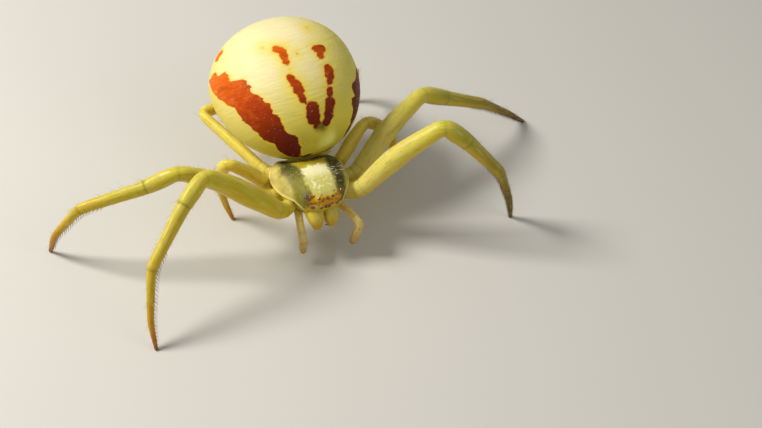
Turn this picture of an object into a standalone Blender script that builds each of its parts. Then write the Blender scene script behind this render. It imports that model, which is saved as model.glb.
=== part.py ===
"""A female flower crab spider at life size, standing with her long front legs held wide.

Lengths are in millimetres until a mesh is made, and a mesh is in metres. While the shapes are
worked out, the floor is z = 0, the head points along -Y and the spider's own left is +X, and the
middle of the prosoma, the front body with the legs, is over the origin. At the end everything is
moved so that the origin is under the middle of the whole spider.
"""

import bpy
import numpy as np

# Prosoma: the front half of the body, with the carapace on top, seen from its middle.
PROSOMA = np.array([0.0, 0.0, 2.8])
CARAPACE = dict(half_width=1.68, front=1.55, rear=1.5, top=0.95, bottom=0.72, squareness=2.15)
HEAD = dict(half_width=0.98, half_length=0.97, top=0.76, bottom=0.84, ahead=0.74, squareness=2.9)
# The carapace falls away behind this place, losing this share of its height by its rear edge.
SLOPE_START = 0.2
REAR_SLOPE = 0.8
SLOPE_BEND = 1.3
# How sharply the head leaves the carapace, and how softly the carapace gives way to the abdomen.
BLEND = 9.0
SOFTNESS = 14.0
# The low mound under each pair of side eyes.
TUBERCLE_RADIUS = 0.3
TUBERCLE = np.array([0.7, -1.3, 0.26])
# Nearest and farthest that the prosoma's surface can be from its middle.
PROSOMA_RANGE = (0.3, 2.4)

# Abdomen: an egg on its side, tipped up at the rear.
ABDOMEN = np.array([0.15, 3.73, 4.97])
ABDOMEN_SIZE = dict(half_width=3.27, front=3.56, rear=2.85, top=2.85, bottom=2.3, squareness=2.05)
ABDOMEN_PITCH = 14.0
ABDOMEN_YAW = -4.5

# The clear gap between neighbours that meet, the one over the carapace's rear, where the abdomen
# overhangs it, and the small one round an eye.
GAP = 0.2
OVERHANG_GAP = 0.2
EYE_GAP = 0.03

# Eyes of the left side: place on the head seen from the middle of the prosoma, and radius.
EYES = {
    "eye_front_median": (0.18, -1.72, -0.04, 0.085),
    "eye_front_side": (0.54, -1.62, 0.02, 0.11),
    "eye_rear_median": (0.3, -1.6, 0.42, 0.075),
    "eye_rear_side": (0.78, -1.38, 0.44, 0.1),
}
EYE_SUNK = 0.35

# Leg segments below the knee: patella, tibia, metatarsus and tarsus.
LENGTHS = {
    1: (1.5, 2.9, 2.2, 1.3),
    2: (1.5, 2.9, 2.2, 1.3),
    3: (1.1, 1.5, 1.2, 0.8),
    4: (1.25, 1.8, 1.4, 0.9),
}
# Half the depth of a leg at the start of the coxa, in mid femur, at the knee, in mid tibia, at the
# start and end of the metatarsus, in mid tarsus and at the tip.
DEPTHS = {
    1: (0.4, 0.49, 0.36, 0.32, 0.25, 0.22, 0.18, 0.11),
    2: (0.4, 0.47, 0.35, 0.32, 0.25, 0.22, 0.18, 0.11),
    3: (0.31, 0.32, 0.26, 0.24, 0.21, 0.18, 0.15, 0.1),
    4: (0.31, 0.31, 0.26, 0.24, 0.21, 0.18, 0.15, 0.1),
}
FLATNESS = 0.82
ROOT_RADIUS = 0.95
ROOT_DROP = -0.42
JOINT_ROUNDING = 0.45
FEMUR_ROUNDING = 2.0
# How sharply the leg turns below the metatarsus, against the turn below the tibia.
ANKLE_TURN = 0.45

# Each leg's stance: the trochanter's angle from straight ahead, its distance from the middle and
# its height from it; how far the femur bows up; the knee; the foot's place on the floor; the tilt of
# the plane in which the lower leg bends; and the turn below the patella against that below the tibia.
STANCES = {
    "right_1": (54, 2.2, -0.3, 0.04, (-5.54, -1.08, 5.52), (-8.64, -4.84), 42, 0.3),
    "right_2": (82, 2.2, -0.3, 0.1, (-6.26, -0.14, 5.05), (-10.87, 1.7), -22, -0.3),
    "right_3": (108, 1.75, -0.4, 0.06, (-3.73, 0.57, 4.22), (-2.72, 1.15), -85, 0.5),
    "right_4": (138, 2.0, -0.55, 0.0, (-3.0, 5.0, 2.98), (-0.77, 7.1), 45, 0.5),
    "left_1": (61, 2.2, -0.3, 0.15, (4.91, -2.01, 6.36), (9.23, -2.38), 17, 0.4),
    "left_2": (87, 2.2, -0.3, 0.27, (6.25, 2.12, 4.24), (12.81, 3.08), -6, -0.1),
    "left_3": (112, 1.8, -0.4, 0.06, (3.33, 1.7, 3.75), (5.3, 2.1), 0, 0.5),
    "left_4": (140, 2.0, -0.55, 0.0, (3.75, 3.9, 2.65), (5.4, 6.6), 0, 0.5),
}

# Palps: the corners of each one's middle line, its radii from root to tip, and where they are taken,
# as shares of its length.
PALPS = {
    "palp_right": ((-0.88, -0.95, 2.2), (-1.07, -1.75, 1.97), (-1.02, -2.1, 1.45), (-0.9, -2.08, 0.55)),
    "palp_left": ((0.88, -0.95, 2.2), (1.18, -1.75, 2.17), (1.55, -2.34, 1.82), (1.3, -2.26, 0.65)),
}
PALP_RADII = (0.19, 0.19, 0.2, 0.18, 0.1)
PALP_MARKS = (0.0, 0.35, 0.7, 0.93, 1.0)
# The corner at which each palp is parted, and how far past it.
PALP_ELBOW = {"palp_right": (1, 0.25), "palp_left": (2, 0.0)}
PALP_ROUNDING = 0.3

# Chelicerae: the stout jaws under the face, from the prosoma's middle.
CHELICERA_LINE = ((0.41, -1.15, -0.3), (0.41, -1.65, -0.58), (0.33, -2.0, -1.08))
CHELICERA_RADII = (0.36, 0.36, 0.31, 0.15)
CHELICERA_MARKS = (0.0, 0.4, 0.72, 1.0)
CHELICERA_ROUNDING = 0.4

# Pedicel, the waist, which arches between the two bodies, and spinnerets, a tuft of short cones under
# the abdomen's rear.
PEDICEL_LINE = ((0.0, 0.7, -0.42), (0.02, 1.8, -0.6), (0.07, 2.9, 0.15))
PEDICEL_MARKS = (0.0, 0.3, 0.5, 0.7, 1.0)
PEDICEL_RADII = (0.3, 0.26, 0.22, 0.27, 0.32)
PEDICEL_ROUNDING = 1.0
SPINNERETS = np.array([0.0, 2.35, -1.4])
# Each cone's place across and up, its length and its radius.
SPINNERET_SIZES = ((-0.17, 0.13, 0.5, 0.17), (0.17, 0.13, 0.5, 0.17), (0.0, 0.0, 0.34, 0.12),
                   (-0.16, -0.15, 0.42, 0.15), (0.16, -0.15, 0.42, 0.15))

# Grid of the two round bodies and of an eye: faces round the upright axis, and from top to bottom.
BODY_GRID = (44, 24)
EYE_GRID = (10, 6)
SHARP_ANGLE = 50.0
# Places found by halving are good to far less than a thousandth of a millimetre.
HALVINGS = 40

MM = 0.001

CREAM = (0.85, 0.8, 0.42)
YELLOW_GREEN = (0.55, 0.52, 0.07)
YELLOW = (0.72, 0.62, 0.1)
OLIVE = (0.42, 0.44, 0.12)
BLACK = (0.03, 0.015, 0.01)


def clear_scene():
    """Take away whatever the scene starts with."""
    for thing in list(bpy.data.objects):
        bpy.data.objects.remove(thing, do_unlink=True)


def finish(name, colour, roughness):
    """A plain shiny or matt surface colour."""
    material = bpy.data.materials.new(name)
    material.use_nodes = True
    shader = material.node_tree.nodes["Principled BSDF"]
    shader.inputs["Base Color"].default_value = (*colour, 1.0)
    shader.inputs["Roughness"].default_value = roughness
    shader.inputs["Metallic"].default_value = 0.0
    return material


def unit(vectors):
    """The same directions with length one."""
    vectors = np.asarray(vectors, float)
    return vectors / np.linalg.norm(vectors, axis=-1, keepdims=True)


def swollen_box(places, across, along, up, power):
    """How far out a place is in a box with round sides: below one inside, one on its surface."""
    parts = np.abs(places / np.stack([across, along, up], axis=-1)) ** power
    return parts.sum(axis=-1) ** (1.0 / power)


def prosoma_level(places):
    """Below one inside the prosoma: the carapace, the square head and the side eyes' tubercles."""
    y, z = places[:, 1], places[:, 2]
    ones = np.ones(len(places))
    behind = np.clip((y - SLOPE_START) / (CARAPACE["rear"] - SLOPE_START), 0.0, 1.0)
    top = CARAPACE["top"] * (1.0 - REAR_SLOPE * behind**SLOPE_BEND)
    up = np.where(z > 0, top, CARAPACE["bottom"])
    along = np.where(y > 0, CARAPACE["rear"], CARAPACE["front"])
    body = swollen_box(places, CARAPACE["half_width"] * ones, along, up, CARAPACE["squareness"])
    ahead = places + np.array([0.0, HEAD["ahead"], 0.0])
    up = np.where(z > 0, HEAD["top"], HEAD["bottom"])
    head = swollen_box(ahead, HEAD["half_width"] * ones, HEAD["half_length"] * ones, up, HEAD["squareness"])
    level = (body**-BLEND + head**-BLEND) ** (-1.0 / BLEND)
    mirrored = np.abs(places[:, :1]) * np.array([1.0, 0.0, 0.0]) + places * np.array([0.0, 1.0, 1.0])
    mound = np.linalg.norm(mirrored - TUBERCLE, axis=1) / TUBERCLE_RADIUS
    return np.minimum(level, mound)


def first_outside(directions, is_outside):
    """Distance along each direction from the prosoma's middle to the first outside place, by halving."""
    near = np.full(len(directions), PROSOMA_RANGE[0])
    far = np.full(len(directions), PROSOMA_RANGE[1])
    for _ in range(HALVINGS):
        middle = (near + far) / 2
        outside = is_outside(directions * middle[:, None])
        far = np.where(outside, middle, far)
        near = np.where(outside, near, middle)
    return near


def prosoma_reach(directions):
    """Distance from the prosoma's middle to its surface along each direction.

    The abdomen overhangs the rear of the carapace, which keeps clear of it with a soft edge.
    """
    body = first_outside(directions, lambda places: prosoma_level(places) > 1.0)
    clear = first_outside(directions, lambda places: in_abdomen(places + PROSOMA, OVERHANG_GAP))
    return -np.log(np.exp(-SOFTNESS * body) + np.exp(-SOFTNESS * clear)) / SOFTNESS


def abdomen_axes():
    """The abdomen's own across, backward and upward directions, as rows."""
    pitch, yaw = np.radians((ABDOMEN_PITCH, ABDOMEN_YAW))
    back = np.array([np.sin(yaw) * np.cos(pitch), np.cos(yaw) * np.cos(pitch), np.sin(pitch)])
    across = np.array([np.cos(yaw), -np.sin(yaw), 0.0])
    return np.array([across, back, np.cross(across, back)])


def abdomen_reach(directions):
    """Distance from the abdomen's middle to its surface along each of its own directions."""
    size = ABDOMEN_SIZE
    ones = np.ones(len(directions))
    along = np.where(directions[:, 1] > 0, size["rear"], size["front"])
    up = np.where(directions[:, 2] > 0, size["top"], size["bottom"])
    return 1.0 / swollen_box(directions, size["half_width"] * ones, along, up, size["squareness"])


def in_prosoma(places, more=0.0):
    """Which places are inside the prosoma, when it is grown by a little."""
    seen = places - PROSOMA
    distance = np.linalg.norm(seen, axis=1)
    return distance < prosoma_reach(seen / distance[:, None]) + more


def in_abdomen(places, more=0.0):
    """Which places are inside the abdomen, when it is grown by a little."""
    seen = (places - ABDOMEN) @ abdomen_axes().T
    distance = np.linalg.norm(seen, axis=1)
    return distance < abdomen_reach(seen / distance[:, None]) + more


def under_floor(places, more=0.0):
    """Which places are below the floor."""
    return places[:, 2] < more


class MiddleLine:
    """A line through given corners, each corner rounded by a parabola, known by its length."""

    def __init__(self, corners, roundings):
        corners = np.asarray(corners, float)
        pieces = [corners[:1]]
        t = np.linspace(0.0, 1.0, 17)[:, None]
        for before, corner, after, rounding in zip(corners, corners[1:], corners[2:], roundings):
            short = min(np.linalg.norm(corner - before), np.linalg.norm(after - corner)) * 0.48
            reach = min(rounding, short)
            start = corner - unit(corner - before) * reach
            end = corner + unit(after - corner) * reach
            pieces.append((1 - t) ** 2 * start + 2 * t * (1 - t) * corner + t**2 * end)
        pieces.append(corners[-1:])
        rough = np.concatenate(pieces)
        lengths = np.concatenate([[0.0], np.cumsum(np.linalg.norm(np.diff(rough, axis=0), axis=1))])
        self.length = lengths[-1]
        self.marks = np.linspace(0.0, self.length, 600)
        self.points = np.stack([np.interp(self.marks, lengths, rough[:, i]) for i in range(3)], axis=1)
        self.corners = [self.marks[np.argmin(np.linalg.norm(self.points - c, axis=1))] for c in corners]

    def place(self, mark):
        """The point at each length along the line, straight on past either end."""
        mark = np.asarray(mark, float)
        inside = np.clip(mark, 0.0, self.length)
        point = np.stack([np.interp(inside, self.marks, self.points[:, i]) for i in range(3)], axis=-1)
        return point + self.direction(inside) * (mark - inside)[..., None]

    def direction(self, mark):
        """The line's direction at each length along it."""
        step = 0.03
        low = np.clip(mark - step, 0.0, self.length - 2 * step)
        ends = [np.stack([np.interp(m, self.marks, self.points[:, i]) for i in range(3)], axis=-1)
                for m in (low, low + 2 * step)]
        return unit(ends[1] - ends[0])


def tube_points(line, inner, knots, radii, flatness, marks, angles):
    """Points on a tube's skin at lengths along its line and angles round it.

    The tube's upper side faces up and away from the inner point, and it is deeper than wide.
    """
    centre = line.place(marks)
    ahead = line.direction(marks)
    outward = unit(centre - inner) + np.array([0.0, 0.0, 1.0])
    outward = unit(outward - ahead * (outward * ahead).sum(axis=-1, keepdims=True))
    sideways = np.cross(ahead, outward) * flatness
    radius = np.interp(marks, knots, radii)[..., None]
    return centre + radius * (outward * np.cos(angles)[..., None] + sideways * np.sin(angles)[..., None])


def tube_rings(line, inner, knots, radii, span, sides, rings, flatness=1.0, start=None, end=None):
    """Rings of points from one end of a span to the other.

    Where an end meets a body, each line of points along the tube begins or ends on that body's
    surface, grown by the gap, so the two meet face to face.
    """
    angles = np.arange(sides) * 2 * np.pi / sides
    low = np.full(sides, span[0])
    high = np.full(sides, span[1])

    def crossing(from_mark, to_mark, inside):
        near = np.full(sides, from_mark)
        far = np.full(sides, to_mark)
        for _ in range(HALVINGS):
            middle = (near + far) / 2
            points = tube_points(line, inner, knots, radii, flatness, middle, angles)
            within = inside(points)
            near = np.where(within, middle, near)
            far = np.where(within, far, middle)
        return far

    if start is not None:
        low = crossing(span[0], span[1], start)
    if end is not None:
        high = crossing(span[1], span[0], end)
    steps = np.linspace(0.0, 1.0, rings)[:, None]
    marks = low + (high - low) * steps
    return tube_points(line, inner, knots, radii, flatness, marks, np.broadcast_to(angles, marks.shape))


def make_object(name, points, faces, material):
    """A named object from points in millimetres and faces that run anticlockwise seen from outside."""
    mesh = bpy.data.meshes.new(name)
    mesh.from_pydata((np.asarray(points) * MM).tolist(), [], faces)
    mesh.materials.append(material)
    mesh.validate()
    mesh.shade_smooth()
    mesh.set_sharp_from_angle(angle=np.radians(SHARP_ANGLE))
    thing = bpy.data.objects.new(name, mesh)
    bpy.context.scene.collection.objects.link(thing)
    return thing


def ring_faces(rings, sides, first=0):
    """Quads between neighbouring rings, each ring anticlockwise seen from the tube's far end."""
    faces = []
    for row in range(rings - 1):
        for side in range(sides):
            a = first + row * sides + side
            b = first + row * sides + (side + 1) % sides
            faces.append((a, b, b + sides, a + sides))
    return faces


def closed_tube(rings):
    """Points and faces of a tube with a fan of faces over each end."""
    count, sides, _ = rings.shape
    points = np.concatenate([rings.reshape(-1, 3), rings[:1].mean(axis=1), rings[-1:].mean(axis=1)])
    near, far = count * sides, count * sides + 1
    faces = ring_faces(count, sides)
    for side in range(sides):
        following = (side + 1) % sides
        faces.append((near, following, side))
        faces.append((far, (count - 1) * sides + side, (count - 1) * sides + following))
    return points, faces


def globe(reach, across, down):
    """A round closed body: directions on a grid from pole to pole, each as long as its reach."""
    turn = np.arange(across) * 2 * np.pi / across
    fall = np.linspace(0.0, np.pi, down + 1)[1:-1, None]
    grid = np.stack([np.sin(fall) * np.cos(turn), np.sin(fall) * np.sin(turn),
                     np.cos(fall) * np.ones_like(turn)], axis=-1).reshape(-1, 3)
    directions = np.concatenate([grid, [[0.0, 0.0, 1.0], [0.0, 0.0, -1.0]]])
    points = directions * reach(directions)[:, None]
    top, foot = len(grid), len(grid) + 1
    faces = []
    for row in range(down - 2):
        for side in range(across):
            a = row * across + side
            b = row * across + (side + 1) % across
            faces.append((a, a + across, b + across, b))
    last = (down - 2) * across
    for side in range(across):
        following = (side + 1) % across
        faces.append((top, side, following))
        faces.append((foot, last + following, last + side))
    return points, faces


def lower_leg(knee, foot, lengths, tilt, turns):
    """The joints below the knee: a chain that bends by given relative turns, just enough to reach.

    The size of the turns is found by halving, and the tilt leans the plane of bending sideways.
    """
    chord = foot - knee
    reach = np.linalg.norm(chord)
    along = chord / reach
    up = unit(np.array([0.0, 0.0, 1.0]) - along * along[2])
    lean = np.radians(tilt)
    out = up * np.cos(lean) + np.cross(along, up) * np.sin(lean)

    def chain(turn):
        angles = -np.concatenate([[0.0], np.cumsum(np.array(turns) * turn)])
        steps = np.stack([np.cos(angles), np.sin(angles)], axis=1) * np.array(lengths)[:, None]
        return np.concatenate([[[0.0, 0.0]], np.cumsum(steps, axis=0)])

    less, more = 0.0, np.radians(75)
    for _ in range(HALVINGS):
        turn = (less + more) / 2
        if np.linalg.norm(chain(turn)[-1]) > reach:
            less = turn
        else:
            more = turn
    flat = chain(less)
    swing = np.arctan2(flat[-1, 1], flat[-1, 0])
    x = flat[:, 0] * np.cos(swing) + flat[:, 1] * np.sin(swing)
    y = flat[:, 1] * np.cos(swing) - flat[:, 0] * np.sin(swing)
    return knee + (x[:, None] * along + y[:, None] * out) * reach / x[-1]


def leg_line(name):
    """A leg's middle line from under the carapace to the floor, and the point it bends round."""
    angle, distance, drop, bow, knee, foot, tilt, patella_turn = STANCES[name]
    side = 1 if name.startswith("left") else -1
    turn = np.radians(angle)
    flat = np.array([side * np.sin(turn), -np.cos(turn), 0.0])
    root = PROSOMA + flat * ROOT_RADIUS + np.array([0.0, 0.0, ROOT_DROP])
    hip = PROSOMA + flat * distance + np.array([0.0, 0.0, drop])
    knee, foot = np.array(knee), np.array([*foot, 0.0])
    turns = (patella_turn, 1.0, ANKLE_TURN)
    joints = lower_leg(knee, foot, LENGTHS[int(name[-1])], tilt, turns)
    femur = unit(knee - hip)
    raised = unit(np.array([0.0, 0.0, 1.0]) - femur * femur[2]) * bow * 2
    corners = np.concatenate([[root, hip, (hip + knee) / 2 + raised], joints])
    roundings = [JOINT_ROUNDING] * 6
    roundings[1] = FEMUR_ROUNDING
    return MiddleLine(corners, roundings), (hip + foot) / 2


def leg_profile(line, depths):
    """Lengths along a leg's line, and half its depth there."""
    root, hip, _, knee, patella, tibia, metatarsus, tip = line.corners
    knots = (root, hip, hip + 0.45 * (knee - hip), knee, (knee + patella) / 2, patella,
             patella + 0.4 * (tibia - patella), tibia, tibia + 0.12 * (metatarsus - tibia), metatarsus,
             (metatarsus + tip) / 2, tip)
    coxa, femur, joint, shin, wrist, ankle, toe, end = depths
    radii = (coxa, coxa * 0.95, femur, joint, joint * 1.12, joint, shin, (shin + wrist) / 2, wrist, ankle,
             toe, end)
    return knots, radii


def build_leg(name, material):
    """Four nodes for a leg: coxa, femur, patella with tibia, and metatarsus with tarsus."""
    number = int(name[-1])
    line, inner = leg_line(name)
    knots, radii = leg_profile(line, DEPTHS[number])
    sides = 12 if number < 3 else 10
    _, hip, _, knee, _, tibia, _, _ = line.corners
    half = GAP / 2

    def grown(places):
        return in_prosoma(places, GAP)

    spans = (
        ("coxa", (0.0, hip - half), 5, grown, None),
        ("femur", (hip + half, knee - half), 11, None, None),
        ("tibia", (knee + half, tibia - half), 12, None, None),
        ("foot", (tibia + half, line.length + 0.3), 12, None, under_floor),
    )
    for part, span, rings, start, end in spans:
        points = tube_rings(line, inner, knots, radii, span, sides, rings, FLATNESS, start, end)
        make_object(f"{part}_{name}", *closed_tube(points), material)


def build_palp(name, material):
    """Two nodes for a palp, parted at its elbow, with the rounded tip just clear of the floor."""
    line = MiddleLine(PALPS[name], (PALP_ROUNDING, PALP_ROUNDING))
    corner, past = PALP_ELBOW[name]
    elbow = line.corners[corner] + past
    knots = np.array(PALP_MARKS) * line.length
    half = GAP / 2

    def grown(places):
        return in_prosoma(places, GAP)

    upper = tube_rings(line, PROSOMA, knots, PALP_RADII, (0.0, elbow - half), 10, 8, start=grown)
    lower = tube_rings(line, PROSOMA, knots, PALP_RADII, (elbow + half, line.length), 10, 9)
    make_object(f"{name}_upper", *closed_tube(upper), material)
    make_object(f"{name}_lower", *closed_tube(lower), material)


def build_chelicera(side, name, material):
    """One stout jaw, from under the face down and a little forward."""
    corners = np.array(CHELICERA_LINE) * np.array([side, 1.0, 1.0]) + PROSOMA
    line = MiddleLine(corners, (CHELICERA_ROUNDING,))
    knots = np.array(CHELICERA_MARKS) * line.length

    def grown(places):
        return in_prosoma(places, GAP)

    rings = tube_rings(line, PROSOMA, knots, CHELICERA_RADII, (0.0, line.length), 12, 9, start=grown)
    make_object(name, *closed_tube(rings), material)


def eye_places():
    """Each eye's name, middle and radius: on the head's surface, and sunk into it."""
    found = {}
    for eye, (x, y, z, radius) in EYES.items():
        for side, mirror in (("left", 1), ("right", -1)):
            direction = unit(np.array([[mirror * x, y, z]]))
            reach = prosoma_reach(direction)[0] - EYE_SUNK * radius
            found[f"{eye}_{side}"] = (PROSOMA + direction[0] * reach, radius)
    return found


def ball(radius, across, down):
    """Points and faces of a plain ball."""
    return globe(lambda directions: np.full(len(directions), radius), across, down)


def build_prosoma(material):
    """The prosoma, with a socket for each eye."""
    points, faces = globe(prosoma_reach, *BODY_GRID)
    prosoma = make_object("prosoma", points + PROSOMA, faces, material)
    for name, (middle, radius) in eye_places().items():
        points, faces = ball(radius + EYE_GAP, *EYE_GRID)
        cutter = make_object(f"socket_{name}", points + middle, faces, material)
        cutter.hide_render = True
        cutter.display_type = "WIRE"
        cut = prosoma.modifiers.new(name, "BOOLEAN")
        cut.operation = "DIFFERENCE"
        cut.object = cutter


def build_eyes(material):
    """Eight small round eyes, each loose in its socket."""
    for name, (middle, radius) in eye_places().items():
        points, faces = ball(radius, *EYE_GRID)
        make_object(name, points + middle, faces, material)


def build_abdomen(material):
    """The abdomen, turned from its own directions to the spider's."""
    points, faces = globe(abdomen_reach, *BODY_GRID)
    make_object("abdomen", points @ abdomen_axes() + ABDOMEN, faces, material)


def build_pedicel(material):
    """The short waist between the prosoma and the abdomen, which ends on both."""
    line = MiddleLine(PROSOMA + PEDICEL_LINE, (PEDICEL_ROUNDING,))
    knots = np.array(PEDICEL_MARKS) * line.length

    def from_prosoma(places):
        return in_prosoma(places, GAP)

    def from_abdomen(places):
        return in_abdomen(places, GAP)

    rings = tube_rings(line, PROSOMA, knots, PEDICEL_RADII, (0.0, line.length), 10, 4,
                       start=from_prosoma, end=from_abdomen)
    make_object("pedicel", *closed_tube(rings), material)


def build_spinnerets(material):
    """Five short cones side by side, joined into one tuft that starts on the abdomen."""
    back = unit(SPINNERETS)
    cones = []
    for index, (across, up, length, radius) in enumerate(SPINNERET_SIZES):
        start = SPINNERETS * 0.6 + np.array([across, 0.0, up])
        corners = np.array([start, start + back * (1.25 + length)]) @ abdomen_axes() + ABDOMEN
        line = MiddleLine(corners, ())
        knots = np.array([0.0, 0.6, 0.9, 1.0]) * line.length

        def grown(places):
            return in_abdomen(places, GAP)

        radii = (radius * 1.35, radius * 1.25, radius * 0.85, radius * 0.45)
        rings = tube_rings(line, ABDOMEN, knots, radii, (0.0, line.length), 8, 5, start=grown)
        cones.append(make_object(f"cone_{index}", *closed_tube(rings), material))
    tuft = cones[0]
    tuft.name = "spinnerets"
    others = bpy.data.collections.new("spinneret_cones")
    for cone in cones[1:]:
        others.objects.link(cone)
    join = tuft.modifiers.new("join", "BOOLEAN")
    join.operation = "UNION"
    join.operand_type = "COLLECTION"
    join.collection = others
    apply_modifiers(tuft)
    for cone in cones[1:]:
        bpy.data.objects.remove(cone, do_unlink=True)
    bpy.data.collections.remove(others)


def apply_modifiers(thing):
    """Give an object the mesh that its modifiers make."""
    graph = bpy.context.evaluated_depsgraph_get()
    mesh = bpy.data.meshes.new_from_object(thing.evaluated_get(graph))
    thing.modifiers.clear()
    thing.data = mesh


def centre_on_floor():
    """Move every mesh so that the origin is under the middle of the whole spider, on the floor."""
    seen = [thing for thing in bpy.data.objects if not thing.hide_render]
    corners = np.concatenate([[vertex.co for vertex in thing.data.vertices] for thing in seen])
    low, high = corners.min(axis=0), corners.max(axis=0)
    shift = np.array([-(low[0] + high[0]) / 2, -(low[1] + high[1]) / 2, -low[2]])
    for thing in bpy.data.objects:
        for vertex in thing.data.vertices:
            vertex.co += type(vertex.co)(shift)


def main():
    clear_scene()
    carapace = finish("carapace", OLIVE, 0.3)
    belly = finish("abdomen", CREAM, 0.45)
    leg = finish("leg", YELLOW_GREEN, 0.35)
    jaw = finish("jaw", YELLOW, 0.35)
    eye = finish("eye", BLACK, 0.1)
    build_prosoma(carapace)
    build_eyes(eye)
    build_abdomen(belly)
    build_pedicel(jaw)
    build_spinnerets(jaw)
    for side, name in ((1, "chelicera_left"), (-1, "chelicera_right")):
        build_chelicera(side, name, jaw)
    for name in PALPS:
        build_palp(name, leg)
    for name in STANCES:
        build_leg(name, leg)
    centre_on_floor()


main()
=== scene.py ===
import bpy
import numpy as np
from mathutils import Matrix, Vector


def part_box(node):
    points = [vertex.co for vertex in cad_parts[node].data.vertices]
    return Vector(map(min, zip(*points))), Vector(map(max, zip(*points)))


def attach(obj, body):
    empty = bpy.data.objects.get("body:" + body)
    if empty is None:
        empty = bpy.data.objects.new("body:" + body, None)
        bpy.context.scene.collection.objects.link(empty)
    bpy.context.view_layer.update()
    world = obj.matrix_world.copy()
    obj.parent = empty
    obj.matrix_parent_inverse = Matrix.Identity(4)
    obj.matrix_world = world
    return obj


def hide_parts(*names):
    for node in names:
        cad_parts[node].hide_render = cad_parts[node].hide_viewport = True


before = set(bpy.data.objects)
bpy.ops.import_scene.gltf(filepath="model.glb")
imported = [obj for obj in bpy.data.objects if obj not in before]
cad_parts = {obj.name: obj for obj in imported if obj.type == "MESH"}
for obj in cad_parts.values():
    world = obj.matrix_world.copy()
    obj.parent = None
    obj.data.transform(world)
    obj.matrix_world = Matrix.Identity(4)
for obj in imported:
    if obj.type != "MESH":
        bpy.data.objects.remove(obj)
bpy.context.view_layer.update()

MM = 0.001

# The spider's own measures, in millimetres, as the solids have them: the floor is z = 0, the head
# points along -Y, her own left is +X, and the middle of the prosoma is over the origin.
PROSOMA = np.array([0.0, 0.0, 2.8])
CARAPACE = dict(half_width=1.68, front=1.55, rear=1.5, top=0.95, bottom=0.72, squareness=2.15)
HEAD = dict(half_width=0.98, half_length=0.97, top=0.76, bottom=0.84, ahead=0.74, squareness=2.9)
SLOPE_START = 0.2
REAR_SLOPE = 0.8
SLOPE_BEND = 1.3
BLEND = 9.0
SOFTNESS = 14.0
TUBERCLE_RADIUS = 0.3
TUBERCLE = np.array([0.7, -1.3, 0.26])
PROSOMA_RANGE = (0.3, 2.4)
OVERHANG_GAP = 0.2
HALVINGS = 26

ABDOMEN = np.array([0.15, 3.73, 4.97])
ABDOMEN_SIZE = dict(half_width=3.27, front=3.56, rear=2.85, top=2.85, bottom=2.3, squareness=2.05)
ABDOMEN_PITCH = 14.0
ABDOMEN_YAW = -4.5

EYES = {
    "eye_front_median": (0.18, -1.72, -0.04, 0.085),
    "eye_front_side": (0.54, -1.62, 0.02, 0.11),
    "eye_rear_median": (0.3, -1.6, 0.42, 0.075),
    "eye_rear_side": (0.78, -1.38, 0.44, 0.1),
}
EYE_SUNK = 0.35

LENGTHS = {
    1: (1.5, 2.9, 2.2, 1.3),
    2: (1.5, 2.9, 2.2, 1.3),
    3: (1.1, 1.5, 1.2, 0.8),
    4: (1.25, 1.8, 1.4, 0.9),
}
# Half the depth of a leg, as in the solids down to the knee, and finer than the solids below it: at
# the start of the coxa, in mid femur, at the knee, in mid tibia, at the start and end of the
# metatarsus, in mid tarsus and at the tip.
DEPTHS = {
    1: (0.4, 0.49, 0.36, 0.31, 0.225, 0.16, 0.125, 0.085),
    2: (0.4, 0.47, 0.35, 0.3, 0.22, 0.155, 0.12, 0.08),
    3: (0.31, 0.32, 0.26, 0.23, 0.18, 0.14, 0.11, 0.075),
    4: (0.31, 0.31, 0.26, 0.23, 0.18, 0.14, 0.11, 0.075),
}
# A leg's width against its depth.
FLATNESS = {"right": 0.82, "left": 0.95}
ROOT_RADIUS = 0.95
ROOT_DROP = -0.42
JOINT_ROUNDING = 0.45
FEMUR_ROUNDING = 2.0
ANKLE_TURN = 0.45
STANCES = {
    "right_1": (54, 2.2, -0.3, 0.04, (-5.54, -1.08, 5.52), (-8.64, -4.84), 42, 0.3),
    "right_2": (82, 2.2, -0.3, 0.1, (-6.26, -0.14, 5.05), (-10.87, 1.7), -22, -0.3),
    "right_3": (108, 1.75, -0.4, 0.06, (-3.73, 0.57, 4.22), (-2.72, 1.15), -85, 0.5),
    "right_4": (138, 2.0, -0.55, 0.0, (-3.0, 5.0, 2.98), (-0.77, 7.1), 45, 0.5),
    "left_1": (61, 2.2, -0.3, 0.15, (4.91, -2.01, 6.36), (9.23, -2.38), 17, 0.4),
    "left_2": (87, 2.2, -0.3, 0.27, (6.25, 2.12, 4.24), (12.81, 3.08), -6, -0.1),
    "left_3": (112, 1.8, -0.4, 0.06, (3.33, 1.7, 3.75), (5.3, 2.1), 0, 0.5),
    "left_4": (140, 2.0, -0.55, 0.0, (3.75, 3.9, 2.65), (5.4, 6.6), 0, 0.5),
}

PALPS = {
    "palp_right": ((-0.88, -0.95, 2.2), (-1.07, -1.75, 1.97), (-1.02, -2.1, 1.45), (-0.9, -2.08, 0.55)),
    "palp_left": ((0.88, -0.95, 2.2), (1.18, -1.75, 2.17), (1.55, -2.34, 1.82), (1.3, -2.26, 0.65)),
}
PALP_RADII = (0.18, 0.165, 0.17, 0.15, 0.08)
PALP_MARKS = (0.0, 0.35, 0.7, 0.93, 1.0)
PALP_ROUNDING = 0.3
CHELICERA_LINE = ((0.4, -1.15, -0.3), (0.39, -1.65, -0.58), (0.31, -2.0, -1.08))
CHELICERA_RADII = (0.37, 0.37, 0.3, 0.13)
CHELICERA_MARKS = (0.0, 0.4, 0.72, 1.0)
CHELICERA_ROUNDING = 0.4
PEDICEL_LINE = ((0.0, 0.7, -0.42), (0.02, 1.8, -0.6), (0.07, 2.9, 0.15))
PEDICEL_RADII = (0.3, 0.26, 0.22, 0.27, 0.32)
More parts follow.
